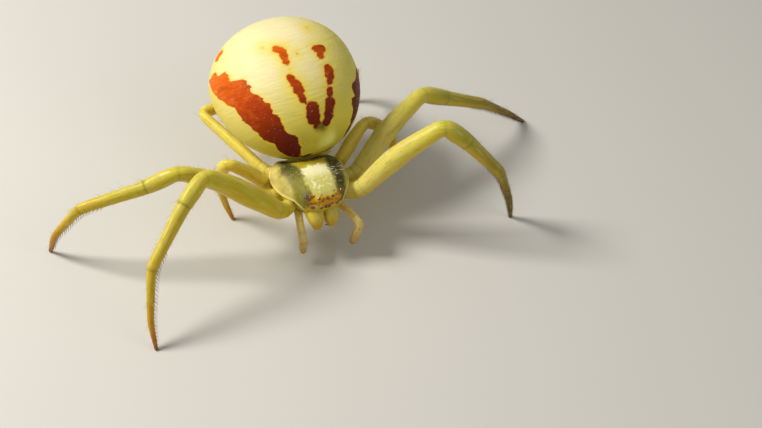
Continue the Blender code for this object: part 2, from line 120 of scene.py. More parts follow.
PEDICEL_MARKS = (0.0, 0.3, 0.5, 0.7, 1.0)
PEDICEL_ROUNDING = 1.0
SPINNERETS = np.array([0.0, 2.35, -1.4])
SPINNERET_SIZES = ((-0.17, 0.13, 0.5, 0.17), (0.17, 0.13, 0.5, 0.17), (0.0, 0.0, 0.34, 0.12),
                   (-0.16, -0.15, 0.42, 0.15), (0.16, -0.15, 0.42, 0.15))

# The grooves at a leg's joints as shares of its depth, from the hip to the ankle, and their width.
GROOVES = (0.025, 0.02, 0.02, 0.05, 0.045, 0.02)
JOINT_WIDTH = 0.055
# The depth of groove at which a joint's line is fully coloured.
FULL_GROOVE = 0.06
# How near the jaws come to the midline, and how square their inner sides are.
JAW_GAP = 0.02
JAW_SQUARENESS = 6.0

# Fine hairs on each leg of a pair and on the abdomen, and the combs under the front legs' ends.
HAIR_SEED = 11
LEG_HAIRS = {1: 340, 2: 320, 3: 170, 4: 200}
ABDOMEN_HAIRS = 850
COMB_ANGLES = (-0.75, 0.75)
COMB_PITCH = 0.17
# Clusters of tall bristles on the carapace: across, forward, how far they scatter and how many a side.
BRISTLE_CLUSTERS = ((0.7, -0.45, 0.18, 7), (0.95, -0.3, 0.14, 4), (0.6, -0.95, 0.16, 3))
# The size of one bristle's patch on the map that its colour is kept on.
PATCH = 0.003

# Faces along one edge of the cube that is blown up into a body, and rings and sides of a limb.
BODY_FACES = 96
LEG_GRID = (300, 40)
PALP_GRID = (90, 28)

# The abdomen's side bands: shares of the way from its middle to its front end, and the angle from the
# top line at which a band starts there, on her right and on her left, and where it ends.
BAND_TOP_RIGHT = ((-0.98, 111), (-0.96, 63.5), (-0.894, 44.3), (-0.832, 49.3), (-0.751, 47.8), (-0.669, 43.1),
                  (-0.6, 46.3), (-0.5, 42.6), (-0.443, 45), (-0.354, 46.7), (-0.287, 50.9), (-0.205, 48.8),
                  (-0.085, 50.1), (-0.059, 54.9), (-0.008, 59.5), (0.195, 62), (0.215, 71), (0.345, 75.7),
                  (0.38, 83.5))
BAND_TOP_LEFT = ((-0.99, 122), (-0.915, 100), (-0.911, 84), (-0.895, 78.8), (-0.867, 72), (-0.84, 65),
                 (-0.813, 61.8), (-0.785, 58.6), (-0.756, 54), (-0.723, 49), (-0.669, 46), (-0.637, 51.7),
                 (-0.608, 46), (-0.581, 44), (-0.521, 44), (-0.474, 50), (-0.427, 53), (-0.371, 55),
                 (-0.311, 57), (-0.209, 63), (-0.14, 64.5), (-0.093, 62), (-0.053, 61), (0.0, 68),
                 (0.1, 70), (0.2, 72), (0.34, 76), (0.38, 84))
BAND_FOOT = ((-0.99, 150), (-0.92, 113), (-0.885, 96), (-0.82, 79.5), (-0.72, 80), (-0.65, 75), (-0.53, 74.5),
             (-0.395, 74), (-0.27, 72.5), (-0.19, 77.4), (-0.025, 82.5), (0.17, 87.5), (0.38, 91))
BAND_END = 0.38
BAND_START = -0.985
# The small patch behind each band: angle, share and radius.
REAR_PATCH = (69, 0.59, 0.3)
# The spots of the top: from angle and share to angle and share, and radius. Negative is her right.
SPOTS = (
    (-16.7, 0.049, -13.3, 0.001, 0.17), (-14.2, -0.02, -14.5, -0.15, 0.155), (-14.7, -0.258, -14.7, -0.262, 0.0),
    (13.1, -0.101, 17.8, -0.112, 0.2), (15.7, -0.124, 14.0, -0.185, 0.17), (13.9, -0.19, 13.9, -0.225, 0.05),
    (-17.1, -0.35, -16.6, -0.42, 0.155), (-15.8, -0.44, -14.9, -0.53, 0.235),
    (-14.9, -0.558, -15.3, -0.61, 0.175), (-14.6, -0.64, -13.8, -0.68, 0.03),
    (17.0, -0.377, 16.5, -0.444, 0.245), (16.2, -0.464, 15.2, -0.51, 0.17),
    (13.5, -0.598, 13.2, -0.635, 0.155), (13.1, -0.66, 13.0, -0.68, 0.05),
    (-9.3, -0.731, -10.8, -0.823, 0.3), (-9.6, -0.845, -8.4, -0.88, 0.19),
    (13.0, -0.717, 10.8, -0.818, 0.25), (9.8, -0.832, 7.4, -0.876, 0.19),
    (17.2, 0.302, 16.9, 0.294, 0.035), (-25.5, 0.175, -25.2, 0.165, 0.0), (-4.0, -0.1, -4.0, -0.112, 0.0),
)
# The crease in front of the spots, and the low swelling before it, as angle and share. The abdomen's finish paints
# shade in the crease and a highlight on the swelling.
CREASE = ((-5.8, -0.897), (1.8, -0.907))
SWELLING = (22.8, -0.971)
# How far the abdomen's fine cross folds sweep back for each millimetre away from its top line, and how
# much more for each millimetre further back.
FOLD_SWEEP = (0.33, 0.06)

# The carapace's dark side bands: how far forward, then the inner and outer edge from the midline.
CARAPACE_BAND = ((-1.45, 0.6, 1.1), (-1.22, 0.62, 1.18), (-0.9, 0.66, 1.22), (-0.6, 0.64, 1.27),
                 (-0.3, 0.62, 1.25), (0.0, 0.66, 1.38), (0.35, 0.8, 1.3), (0.75, 0.72, 1.12), (1.3, 0.45, 0.85))
# The carapace's rim: the angle from straight ahead, and its height from the prosoma's middle.
RIM = ((0, -0.5), (22, -0.46), (34, -0.1), (46, 0.1), (90, 0.05), (130, 0.0), (180, -0.06))

# Underneath, from each body's own middle: the sternum's half width and half length, the labium and
# the endites (place and half sizes), the lung covers (place and radius), and the epigyne and the
# furrow behind it (end points and radius). Those of the right side are mirrored from the left.
STERNUM = (0.8, 0.95)
LABIUM = ((0.0, -0.92, -0.8), (0.16, 0.2, 0.1))
ENDITE = ((0.26, -1.16, -0.83), (0.15, 0.3, 0.12))
LUNG_COVER = ((0.95, -2.1, -1.75), (0.7, -2.0, -1.85), 0.5)
EPIGYNE = ((0.0, -1.62, -2.05), (0.06, -1.6, -2.05), 0.17)
FURROW = ((0.0, -1.35, -2.15), (1.2, -1.4, -1.95), 0.0)

# The camera: seen from the prosoma, the way to it, its roll, its distance from the look-at point and
# the picture's scale there. The prosoma's middle lands on this place of a picture of this size.
CAMERA_TURN = -33.5
CAMERA_HEIGHT = 44.0
CAMERA_ROLL = 11.5
CAMERA_DISTANCE = 95.0
PIXELS_PER_MM = 23.4
PICTURE = (762, 428)
PROSOMA_IN_PICTURE = (308.8, 178.5)
SENSOR = 36.0


def unit(vectors):
    """The same directions with length one."""
    vectors = np.asarray(vectors, float)
    return vectors / np.linalg.norm(vectors, axis=-1, keepdims=True)


def swollen_box(places, across, along, up, power):
    """How far out a place is in a box with round sides: below one inside, one on its surface."""
    parts = np.abs(places / np.stack([across, along, up], axis=-1)) ** power
    return parts.sum(axis=-1) ** (1.0 / power)


def prosoma_level(places):
    """Below one inside the prosoma: the carapace, the square head and the side eyes' tubercles."""
    y, z = places[:, 1], places[:, 2]
    ones = np.ones(len(places))
    behind = np.clip((y - SLOPE_START) / (CARAPACE["rear"] - SLOPE_START), 0.0, 1.0)
    top = CARAPACE["top"] * (1.0 - REAR_SLOPE * behind**SLOPE_BEND)
    up = np.where(z > 0, top, CARAPACE["bottom"])
    along = np.where(y > 0, CARAPACE["rear"], CARAPACE["front"])
    body = swollen_box(places, CARAPACE["half_width"] * ones, along, up, CARAPACE["squareness"])
    ahead = places + np.array([0.0, HEAD["ahead"], 0.0])
    up = np.where(z > 0, HEAD["top"], HEAD["bottom"])
    head = swollen_box(ahead, HEAD["half_width"] * ones, HEAD["half_length"] * ones, up, HEAD["squareness"])
    level = (body**-BLEND + head**-BLEND) ** (-1.0 / BLEND)
    mirrored = np.abs(places[:, :1]) * np.array([1.0, 0.0, 0.0]) + places * np.array([0.0, 1.0, 1.0])
    mound = np.linalg.norm(mirrored - TUBERCLE, axis=1) / TUBERCLE_RADIUS
    return np.minimum(level, mound)


def first_outside(directions, is_outside):
    """Distance along each direction from the prosoma's middle to the first outside place, by halving."""
    near = np.full(len(directions), PROSOMA_RANGE[0])
    far = np.full(len(directions), PROSOMA_RANGE[1])
    for _ in range(HALVINGS):
        middle = (near + far) / 2
        outside = is_outside(directions * middle[:, None])
        far = np.where(outside, middle, far)
        near = np.where(outside, near, middle)
    return near


def prosoma_reach(directions):
    """Distance from the prosoma's middle to its surface, which keeps clear of the abdomen over it."""
    body = first_outside(directions, lambda places: prosoma_level(places) > 1.0)
    clear = first_outside(directions, lambda places: in_abdomen(places + PROSOMA, OVERHANG_GAP))
    return -np.log(np.exp(-SOFTNESS * body) + np.exp(-SOFTNESS * clear)) / SOFTNESS


def abdomen_axes():
    """The abdomen's own across, backward and upward directions, as rows."""
    pitch, yaw = np.radians((ABDOMEN_PITCH, ABDOMEN_YAW))
    back = np.array([np.sin(yaw) * np.cos(pitch), np.cos(yaw) * np.cos(pitch), np.sin(pitch)])
    across = np.array([np.cos(yaw), -np.sin(yaw), 0.0])
    return np.array([across, back, np.cross(across, back)])


def abdomen_reach(directions):
    """Distance from the abdomen's middle to its surface along each of its own directions."""
    size = ABDOMEN_SIZE
    ones = np.ones(len(directions))
    along = np.where(directions[:, 1] > 0, size["rear"], size["front"])
    up = np.where(directions[:, 2] > 0, size["top"], size["bottom"])
    return 1.0 / swollen_box(directions, size["half_width"] * ones, along, up, size["squareness"])


def in_abdomen(places, more=0.0):
    """Which places are inside the abdomen, when it is grown by a little."""
    seen = (places - ABDOMEN) @ abdomen_axes().T
    distance = np.linalg.norm(seen, axis=1)
    return distance < abdomen_reach(seen / distance[:, None]) + more


class MiddleLine:
    """A line through given corners, each corner rounded by a parabola, known by its length."""

    def __init__(self, corners, roundings):
        corners = np.asarray(corners, float)
        pieces = [corners[:1]]
        t = np.linspace(0.0, 1.0, 17)[:, None]
        for before, corner, after, rounding in zip(corners, corners[1:], corners[2:], roundings):
            short = min(np.linalg.norm(corner - before), np.linalg.norm(after - corner)) * 0.48
            reach = min(rounding, short)
            start = corner - unit(corner - before) * reach
            end = corner + unit(after - corner) * reach
            pieces.append((1 - t) ** 2 * start + 2 * t * (1 - t) * corner + t**2 * end)
        pieces.append(corners[-1:])
        rough = np.concatenate(pieces)
        lengths = np.concatenate([[0.0], np.cumsum(np.linalg.norm(np.diff(rough, axis=0), axis=1))])
        self.length = lengths[-1]
        self.marks = np.linspace(0.0, self.length, 600)
        self.points = np.stack([np.interp(self.marks, lengths, rough[:, i]) for i in range(3)], axis=1)
        self.corners = [self.marks[np.argmin(np.linalg.norm(self.points - c, axis=1))] for c in corners]

    def place(self, mark):
        """The point at each length along the line, straight on past either end."""
        mark = np.asarray(mark, float)
        inside = np.clip(mark, 0.0, self.length)
        point = np.stack([np.interp(inside, self.marks, self.points[:, i]) for i in range(3)], axis=-1)
        return point + self.direction(inside) * (mark - inside)[..., None]

    def direction(self, mark):
        """The line's direction at each length along it."""
        step = 0.05
        low = np.clip(mark - step, 0.0, self.length - 2 * step)
        ends = [np.stack([np.interp(m, self.marks, self.points[:, i]) for i in range(3)], axis=-1)
                for m in (low, low + 2 * step)]
        return unit(ends[1] - ends[0])


def lower_leg(knee, foot, lengths, tilt, turns):
    """The joints below the knee: a chain that bends by given relative turns, just enough to reach."""
    chord = foot - knee
    reach = np.linalg.norm(chord)
    along = chord / reach
    up = unit(np.array([0.0, 0.0, 1.0]) - along * along[2])
    lean = np.radians(tilt)
    out = up * np.cos(lean) + np.cross(along, up) * np.sin(lean)

    def chain(turn):
        angles = -np.concatenate([[0.0], np.cumsum(np.array(turns) * turn)])
        steps = np.stack([np.cos(angles), np.sin(angles)], axis=1) * np.array(lengths)[:, None]
        return np.concatenate([[[0.0, 0.0]], np.cumsum(steps, axis=0)])

    less, more = 0.0, np.radians(75)
    for _ in range(HALVINGS):
        turn = (less + more) / 2
        if np.linalg.norm(chain(turn)[-1]) > reach:
            less = turn
        else:
            more = turn
    flat = chain(less)
    swing = np.arctan2(flat[-1, 1], flat[-1, 0])
    x = flat[:, 0] * np.cos(swing) + flat[:, 1] * np.sin(swing)
    y = flat[:, 1] * np.cos(swing) - flat[:, 0] * np.sin(swing)
    return knee + (x[:, None] * along + y[:, None] * out) * reach / x[-1]


def leg_line(name):
    """A leg's middle line from under the carapace to the floor, and the point it bends round."""
    angle, distance, drop, bow, knee, foot, tilt, patella_turn = STANCES[name]
    side = 1 if name.startswith("left") else -1
    turn = np.radians(angle)
    flat = np.array([side * np.sin(turn), -np.cos(turn), 0.0])
    root = PROSOMA + flat * ROOT_RADIUS + np.array([0.0, 0.0, ROOT_DROP])
    hip = PROSOMA + flat * distance + np.array([0.0, 0.0, drop])
    knee, foot = np.array(knee), np.array([*foot, 0.0])
    turns = (patella_turn, 1.0, ANKLE_TURN)
    joints = lower_leg(knee, foot, LENGTHS[int(name[-1])], tilt, turns)
    femur = unit(knee - hip)
    raised = unit(np.array([0.0, 0.0, 1.0]) - femur * femur[2]) * bow * 2
    corners = np.concatenate([[root, hip, (hip + knee) / 2 + raised], joints])
    roundings = [JOINT_ROUNDING] * 6
    roundings[1] = FEMUR_ROUNDING
    return MiddleLine(corners, roundings), (hip + foot) / 2


def leg_profile(line, depths):
    """Lengths along a leg's line, and half its depth there."""
    root, hip, _, knee, patella, tibia, metatarsus, tip = line.corners
    knots = (root, hip, hip + 0.45 * (knee - hip), knee, (knee + patella) / 2, patella,
             patella + 0.4 * (tibia - patella), tibia, tibia + 0.12 * (metatarsus - tibia), metatarsus,
             (metatarsus + tip) / 2, tip)
    coxa, femur, joint, shin, wrist, ankle, toe, end = depths
    radii = (coxa, coxa * 0.95, femur, joint, joint * 1.12, joint, shin, (shin + wrist) / 2, wrist, ankle,
             toe, end)
    return knots, radii


def frame_shift():
    """How far the solids were moved from the spider's own measures, read from the prosoma's box."""
    low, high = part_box("prosoma")
    face = prosoma_reach(np.array([[0.0, -1.0, 0.0]]))[0]
    return np.array([(low[0] + high[0]) / 2 / MM, low[1] / MM + face, 0.0])


SHIFT = frame_shift()


def make_piece(name, points, faces, material, attributes=None, patches=None):
    """A smooth named piece on the one body, from points in millimetres and lists of faces.

    Attributes are one number a point. Patches are each point's place on the unwrap that a coat bakes to.
    """
    mesh = bpy.data.meshes.new(name)
    corners = [corner for kind in faces for corner in kind.tolist()]
    mesh.from_pydata(((points + SHIFT) * MM).tolist(), [], corners)
    mesh.materials.append(material)
    for title, values in (attributes or {}).items():
        layer = mesh.attributes.new(title, "FLOAT", "POINT")
        layer.data.foreach_set("value", np.asarray(values, np.float32))
    if patches is not None:
        order = np.empty(len(mesh.loops), np.int32)
        mesh.loops.foreach_get("vertex_index", order)
        mesh.uv_layers.new(name="OFBake").data.foreach_set("uv", patches[order].astype(np.float32).ravel())
    mesh.shade_smooth()
    piece = bpy.data.objects.new(name, mesh)
    bpy.context.scene.collection.objects.link(piece)
    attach(piece, "root")
    return piece


def ball_grid(count):
    """Even directions over a ball: a cube's six faces of count by count squares, blown up round."""
    step = np.tan(np.linspace(-1.0, 1.0, count + 1) * np.pi / 4)
    s, t = np.meshgrid(step, step, indexing="ij")
    cell = np.arange(count)[:, None] * (count + 1) + np.arange(count)
    square = np.stack([cell, cell + count + 1, cell + count + 2, cell + 1], axis=-1).reshape(-1, 4)
    points, faces = [], []
    for axis in range(3):
        for sign in (1.0, -1.0):
            out, right = np.eye(3)[axis] * sign, np.eye(3)[(axis + 1) % 3]
            up = np.cross(out, right)
            faces.append(square + len(points) * (count + 1) ** 2)
            points.append((out + s[..., None] * right + t[..., None] * up).reshape(-1, 3))
    directions = unit(np.concatenate(points))
    _, first, where = np.unique(directions.round(6), axis=0, return_index=True, return_inverse=True)
    return directions[first], where.reshape(-1)[np.concatenate(faces)]


def tube_faces(rings, sides):
    """Quads between neighbouring rings, and a fan of triangles to the middle of each end."""
    row = np.arange(rings - 1)[:, None] * sides
    side = np.arange(sides)
    following = (side + 1) % sides
    quads = np.stack([row + side, row + following, row + following + sides, row + side + sides], axis=-1)
    near = np.full(sides, rings * sides)
    last = (rings - 1) * sides
    fans = np.concatenate([np.stack([near, following, side], axis=-1),
                           np.stack([near + 1, last + side, last + following], axis=-1)])
    return [quads.reshape(-1, 4), fans]


def limb_axes(line, inner, marks):
    """At each mark of a limb: its middle, the way along it, and the ways to its upper side and across."""
    centre = line.place(marks)
    ahead = line.direction(marks)
    outward = unit(centre - inner) + np.array([0.0, 0.0, 1.0])
    outward = unit(outward - ahead * (outward * ahead).sum(axis=-1, keepdims=True))
    return centre, ahead, outward, np.cross(ahead, outward)


def tube(line, inner, marks, radii, sides, flatness=1.0):
    """A limb's skin: at each mark a ring whose upper side faces up and away from the inner point."""
    angles = np.arange(sides) * 2 * np.pi / sides
    centre, _, outward, sideways = limb_axes(line, inner, marks)
    spokes = outward[:, None] * np.cos(angles)[:, None] + sideways[:, None] * flatness * np.sin(angles)[:, None]
    return centre[:, None] + radii[:, None, None] * spokes, angles


def strands(roots, ways, droops, lengths, widths, unwrap, rings=4, sides=3):
    """Fine bristles as closed tapers: points, faces and each point's patch of the unwrap.

    Each leaves its root along its way and bends by the droop times the square of how far out it is,
    and its width falls off to a point.
    """
    t = np.linspace(0.0, 1.0, rings + 1)
    centre = ways[:, None] * t[:, None] + droops[:, None] * t[:, None] ** 2
    centre = roots[:, None] + lengths[:, None, None] * centre
    aside = unit(np.cross(ways, droops + np.array([0.0137, 0.0071, 0.0093])))
    other = unit(np.cross(ways, aside))
    turn = np.arange(sides) * 2 * np.pi / sides
    spokes = aside[:, None] * np.cos(turn)[:, None] + other[:, None] * np.sin(turn)[:, None]
    thick = widths[:, None] * (1.0 - t[:-1]) ** 0.7
    skin = centre[:, :-1, None] + thick[..., None, None] * spokes[:, None]
    count = len(roots)
    points = np.concatenate([skin.reshape(count, -1, 3), centre[:, -1:]], axis=1)
    spot = np.stack([np.tile(turn / 7, rings), np.repeat(t[:-1], sides)], axis=-1)
    spot = np.concatenate([spot, [[0.5, 1.0]]]) * PATCH
    first = np.arange(count)[:, None, None] * (rings * sides + 1)
    quads, fans = tube_faces(rings, sides)
    foot = np.array([[side, (side + 1) % sides, 0] for side in range(1, sides - 1)])[:, ::-1]
    tip = fans[sides:] - np.array([1, 0, 0])
    ends = np.concatenate([tip, foot])
    faces = [(quads + first).reshape(-1, 4), (ends + first).reshape(-1, 3)]
    return points.reshape(-1, 3), faces, (unwrap[:, None] + spot).reshape(-1, 2)


def joined(parts):
    """Several sets of points, faces and patches as one."""
    points, faces, patches, first = [], [[] for _ in parts[0][1]], [], 0
    for places, kinds, spots in parts:
        points.append(places)
        patches.append(spots)
        for every, kind in zip(faces, kinds):
            every.append(kind + first)
        first += len(places)
    return np.concatenate(points), [np.concatenate(kind) for kind in faces], np.concatenate(patches)


def closed(rings):
    """A tube's points with the middle of each end added."""
    return np.concatenate([rings.reshape(-1, 3), rings[:1].mean(axis=1), rings[-1:].mean(axis=1)])


def spread(values, sides):
    """A number for each ring as a number for each point of a closed tube."""
    return np.concatenate([np.repeat(values, sides), values[:1], values[-1:]])


def bump_at(marks, place, width):
    """A smooth hump of height one at a place, this wide."""
    return np.exp(-(((marks - place) / width) ** 2))


def smooth_between(marks, knots, values):
    """Numbers that run from knot to knot, with the corners rounded by a short running mean."""
    return np.mean([np.interp(marks + step, knots, values) for step in np.linspace(-0.16, 0.16, 5)], axis=0)


def rounded_end(marks, length, radius):
    """How much of its width a limb keeps near its tip, so that it ends in a half ball."""
    into = np.clip((marks - (length - radius)) / radius, 0.0, 0.999)
    return np.sqrt(1.0 - into**2)


class Limb:
    """A leg, palp or jaw: its middle line, its radius along it, its joints, and how round it is.

    The radius runs smoothly between its knots, less a groove at each joint and with a low collar
    before it, and falls off like a ball's at the tip.
    """

    def __init__(self, line, inner, knots, radii, joints=(), flatness=1.0, tip=0.1):
        self.line, self.inner, self.knots, self.radii = line, inner, knots, radii
        self.joints, self.flatness, self.tip = joints, flatness, tip

    def radius(self, marks):
        """Half the limb's depth at each mark."""
        radius = smooth_between(marks, self.knots, self.radii)
        for joint, groove in self.joints:
            radius = radius * (1.0 - groove * bump_at(marks, joint, JOINT_WIDTH)
                               + groove * 0.5 * bump_at(marks, joint - 3 * JOINT_WIDTH, 2 * JOINT_WIDTH))
        return radius * rounded_end(marks, self.line.length, self.tip)

    def seam(self, marks):
        """One at a deep joint, nought away from it."""
        lines = (bump_at(marks, joint, JOINT_WIDTH) * groove / FULL_GROOVE for joint, groove in self.joints)
        return np.clip(sum(lines, 0.0 * marks), 0.0, 1.0)

    def marks(self, count):
        """Rings along the limb, set closer at its joints and its tip."""
        even = np.linspace(0.0, self.line.length, 2000)
        density = 1.0 + sum((3.0 * bump_at(even, joint, 0.2) for joint, _ in self.joints), 0.0 * even)
        share = np.cumsum(density + 6.0 * bump_at(even, self.line.length, 1.2 * self.tip))
        return np.interp(np.linspace(share[0], share[-1], count), share, even)

    def places(self, marks, angles):
        """Single points of the skin, the ways out of it, and the ways along the limb."""
        centre, ahead, outward, sideways = limb_axes(self.line, self.inner, marks)
        out = outward * np.cos(angles)[:, None] + sideways * self.flatness * np.sin(angles)[:, None]
        normal = outward * np.cos(angles)[:, None] * self.flatness + sideways * np.sin(angles)[:, None]
        return centre + self.radius(marks)[:, None] * out, unit(normal), ahead


def build_limb(name, limb, grid, stations, material, replaced, shape=None):
    """A limb's skin with its numbers for the finish, in place of its solids."""
    marks = limb.marks(grid[0])
    rings, angles = tube(limb.line, limb.inner, marks, limb.radius(marks), grid[1], limb.flatness)
    if shape:
        rings = shape(rings, marks / limb.line.length)
    rings[..., 2] = np.maximum(rings[..., 2], 0.0)
    top = np.concatenate([np.tile(np.cos(angles), len(marks)), [0.0, 0.0]])
    side = np.concatenate([np.tile(np.sin(angles), len(marks)), [0.0, 0.0]])
    station = np.interp(marks, stations, np.linspace(0.0, 1.0, len(stations)))
    attributes = dict(station=spread(station, grid[1]), seam=spread(limb.seam(marks), grid[1]), top=top,
                      length=spread(marks, grid[1]), side=side)
    piece = make_piece(name, closed(rings), tube_faces(*grid), material, attributes)
    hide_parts(*replaced)


def leg(name):
    """One leg as a limb, and the marks at which its colours are told."""
    side, number = name.split("_")
    line, inner = leg_line(name)
    knots, radii = leg_profile(line, DEPTHS[int(number)])
    root, hip, _, knee, patella, tibia, metatarsus, tip = line.corners
    joints = tuple(zip((hip - 0.1, hip + 0.3, knee, patella, tibia, metatarsus), GROOVES))
    limb = Limb(line, inner, knots, radii, joints, FLATNESS[side], DEPTHS[int(number)][-1])
    return limb, (root, hip, knee, patella, tibia, metatarsus, tip)


def palp(name):
    """One palp as a limb."""
    line = MiddleLine(PALPS[name], (PALP_ROUNDING, PALP_ROUNDING))
    joints = ((line.corners[1] - 0.15, 0.02), (line.corners[1] + 0.3, 0.025), (line.corners[2] + 0.15, 0.025))
    knots = np.array(PALP_MARKS) * line.length
    return Limb(line, PROSOMA, knots, PALP_RADII, joints, 1.0, PALP_RADII[-1] * 1.5)


def chelicera(side):
    """One jaw as a limb; side is 1 for her left and -1 for her right."""
    line = MiddleLine(np.array(CHELICERA_LINE) * np.array([side, 1.0, 1.0]) + PROSOMA, (CHELICERA_ROUNDING,))
    knots = np.array(CHELICERA_MARKS) * line.length
    return Limb(line, PROSOMA, knots, CHELICERA_RADII, (), 1.0, CHELICERA_RADII[-1])


def jaws_together(rings, shares):
    """The jaws' inner sides squared up until they nearly meet on the midline, less so at the tips.

    With a and b a point's shares of the radius towards the midline and across that, its distance from
    the jaw's middle line grows by (a^n + b^n)^(-1/n).
    """
    centre = rings.mean(axis=1, keepdims=True)
    offset = rings - centre
    side = np.sign(centre[..., 0].mean())
    inward = np.clip(-side * offset[..., 0] / np.linalg.norm(offset, axis=2), 0.0, 1.0)
    square = (inward**JAW_SQUARENESS + (1.0 - inward**2) ** (JAW_SQUARENESS / 2)) ** (-1.0 / JAW_SQUARENESS)
    share = np.clip((1.0 - shares) / 0.35, 0.0, 1.0)[:, None]
    rings = centre + offset * (1.0 + (square - 1.0) * share)[..., None]
    rings[..., 0] = side * np.maximum(side * rings[..., 0], JAW_GAP)
    return rings


def build_pedicel(material):
    """The waist, which runs from inside one body into the other."""
    line = MiddleLine(PROSOMA + PEDICEL_LINE, (PEDICEL_ROUNDING,))
    limb = Limb(line, PROSOMA, np.array(PEDICEL_MARKS) * line.length, PEDICEL_RADII)
    build_limb("pedicel_skin", limb, PALP_GRID, (0.0, line.length), material, ("pedicel",))


def build_spinnerets(material):
    """Five short cones in a tuft, each with two rings, as one piece."""
    back = unit(SPINNERETS)
    grid = (40, 20)
    parts, stations = [], []
    for across, up, length, radius in SPINNERET_SIZES:
        start = SPINNERETS * 0.6 + np.array([across, 0.0, up])
        corners = np.array([start, start + back * (1.25 + length)]) @ abdomen_axes() + ABDOMEN
        line = MiddleLine(corners, ())
        knots = np.array([0.0, 0.6, 0.9, 1.0]) * line.length
        limb = Limb(line, ABDOMEN, knots, radius * np.array([1.35, 1.25, 0.85, 0.45]),
                    ((line.length * 0.84, 0.15),), 1.0, radius * 0.4)
        marks = limb.marks(grid[0])
        rings, _ = tube(line, ABDOMEN, marks, limb.radius(marks), grid[1])
        parts.append((closed(rings), tube_faces(*grid), np.zeros((grid[0] * grid[1] + 2, 2))))
        stations.append(spread(marks / line.length, grid[1]))
    points, faces, _ = joined(parts)
    station = np.concatenate(stations)
    attributes = dict(station=station, seam=0.0 * station, top=0.0 * station, length=station, side=station)
    piece = make_piece("spinneret_tuft", points, faces, material, attributes)
    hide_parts("spinnerets")


def along_limb(limb, marks, angles, lift, lengths, widths, draws, droop=0.35, stray=0.18):
    """Bristles rooted on a limb, leaning towards its tip: lift is the angle between bristle and skin."""
    roots, out, ahead = limb.places(marks, angles)
    stray = draws.normal(0.0, stray, (len(marks), 3))
    ways = unit(ahead * np.cos(lift)[:, None] + out * np.sin(lift)[:, None] + stray)
    unwrap = np.stack([angles / (2 * np.pi) % 1.0, marks / limb.line.length], axis=1) * (1.0 - PATCH)
    points, faces, patches = strands(roots - out * 0.012, ways, ahead * droop, lengths, widths, unwrap)
    points[:, 2] = np.maximum(points[:, 2], 0.004)
    return points, faces, patches


def build_leg_hairs(name, limb, stations, hair, spine):
    """A leg's fine pale hairs all over, and on the front two pairs, under the outer half, the two combs of dark
    spines.
    """
    number = int(name[-1])
    draws = np.random.default_rng(HAIR_SEED + list(STANCES).index(name))
    root, hip, knee, patella, tibia, metatarsus, tip = stations
    count = LEG_HAIRS[number]
    marks = hip + (tip - 0.1 - hip) * draws.random(count) ** 0.8
    angles = draws.uniform(0.0, 2 * np.pi, count)
    lengths = np.interp(marks, (hip, knee, tibia, tip), (0.16, 0.2, 0.2, 0.13)) * draws.uniform(0.6, 1.35, count)
    fine = along_limb(limb, marks, angles, draws.uniform(0.5, 1.1, count), lengths, 0.0055 + 0.0 * marks, draws)
    long_marks = draws.uniform(hip + 0.3, tip - 0.4, count // 12)
    tall = along_limb(limb, long_marks, draws.uniform(-1.4, 1.4, len(long_marks)),
                      draws.uniform(1.0, 1.4, len(long_marks)), draws.uniform(0.28, 0.42, len(long_marks)),
                      0.008 + 0.0 * long_marks, draws)
    points, faces, patches = joined([fine, tall])
    make_piece(f"hairs_{name}", points, faces, hair, patches=patches)
    if number < 3:
        combs = []
        for angle in COMB_ANGLES:
            teeth = np.arange(tibia - 0.9, tip - 0.35, COMB_PITCH)
            teeth = teeth + draws.uniform(-0.02, 0.02, len(teeth))
            where = np.pi + angle + draws.uniform(-0.08, 0.08, len(teeth))
            sizes = np.interp(teeth, (tibia - 0.9, tibia + 0.3, metatarsus, tip), (0.15, 0.24, 0.21, 0.1))
            combs.append(along_limb(limb, teeth, where, 0.85 + 0.0 * teeth, sizes, 0.02 + 0.0 * teeth, draws, 0.45, 0.05))
        points, faces, patches = joined(combs)
        make_piece(f"comb_{name}", points, faces, spine, patches=patches)


def build_claws(name, limb, material):
    """Two small hooked claws at a leg's tip, just over the floor."""
    foot = limb.line.place(np.array([limb.line.length - 0.03]))[0]
    ahead = limb.line.direction(np.array([limb.line.length]))[0]
    flat = unit(np.array([ahead[0], ahead[1], 0.0]))
    aside = np.array([-flat[1], flat[0], 0.0])
    roots = foot + np.array([aside, -aside]) * 0.035 + np.array([0.0, 0.0, 0.045])
    ways = unit(np.array([flat + aside * 0.3, flat - aside * 0.3]) + np.array([0.0, 0.0, 0.25]))
    sizes = np.full(2, 0.13)
    points, faces, patches = strands(roots, ways, np.array([[0.0, 0.0, -0.5]] * 2), sizes, sizes * 0.19,
                                     np.zeros((2, 2)), 6, 8)
    points[:, 2] = np.maximum(points[:, 2], 0.002)
    make_piece(f"claws_{name}", points, faces, material, patches=patches)


def way_out(reach, places):
    """The way straight out of a round body at places on it, from how its distance changes round them."""
    step = 0.01
    slopes = []
    for axis in np.eye(3) * step:
        ends = [np.linalg.norm(places + way, axis=1) - reach(unit(places + way)) for way in (axis, -axis)]
        slopes.append(ends[0] - ends[1])
    return unit(np.stack(slopes, axis=1))


def ball_unwrap(directions):
    """A place on a flat map for each direction: the turn round the upright axis, and the height."""
    turn = np.arctan2(directions[:, 1], directions[:, 0]) / (2 * np.pi) + 0.5
    return np.stack([turn, np.arcsin(directions[:, 2]) / np.pi + 0.5], axis=1) * (1.0 - PATCH)


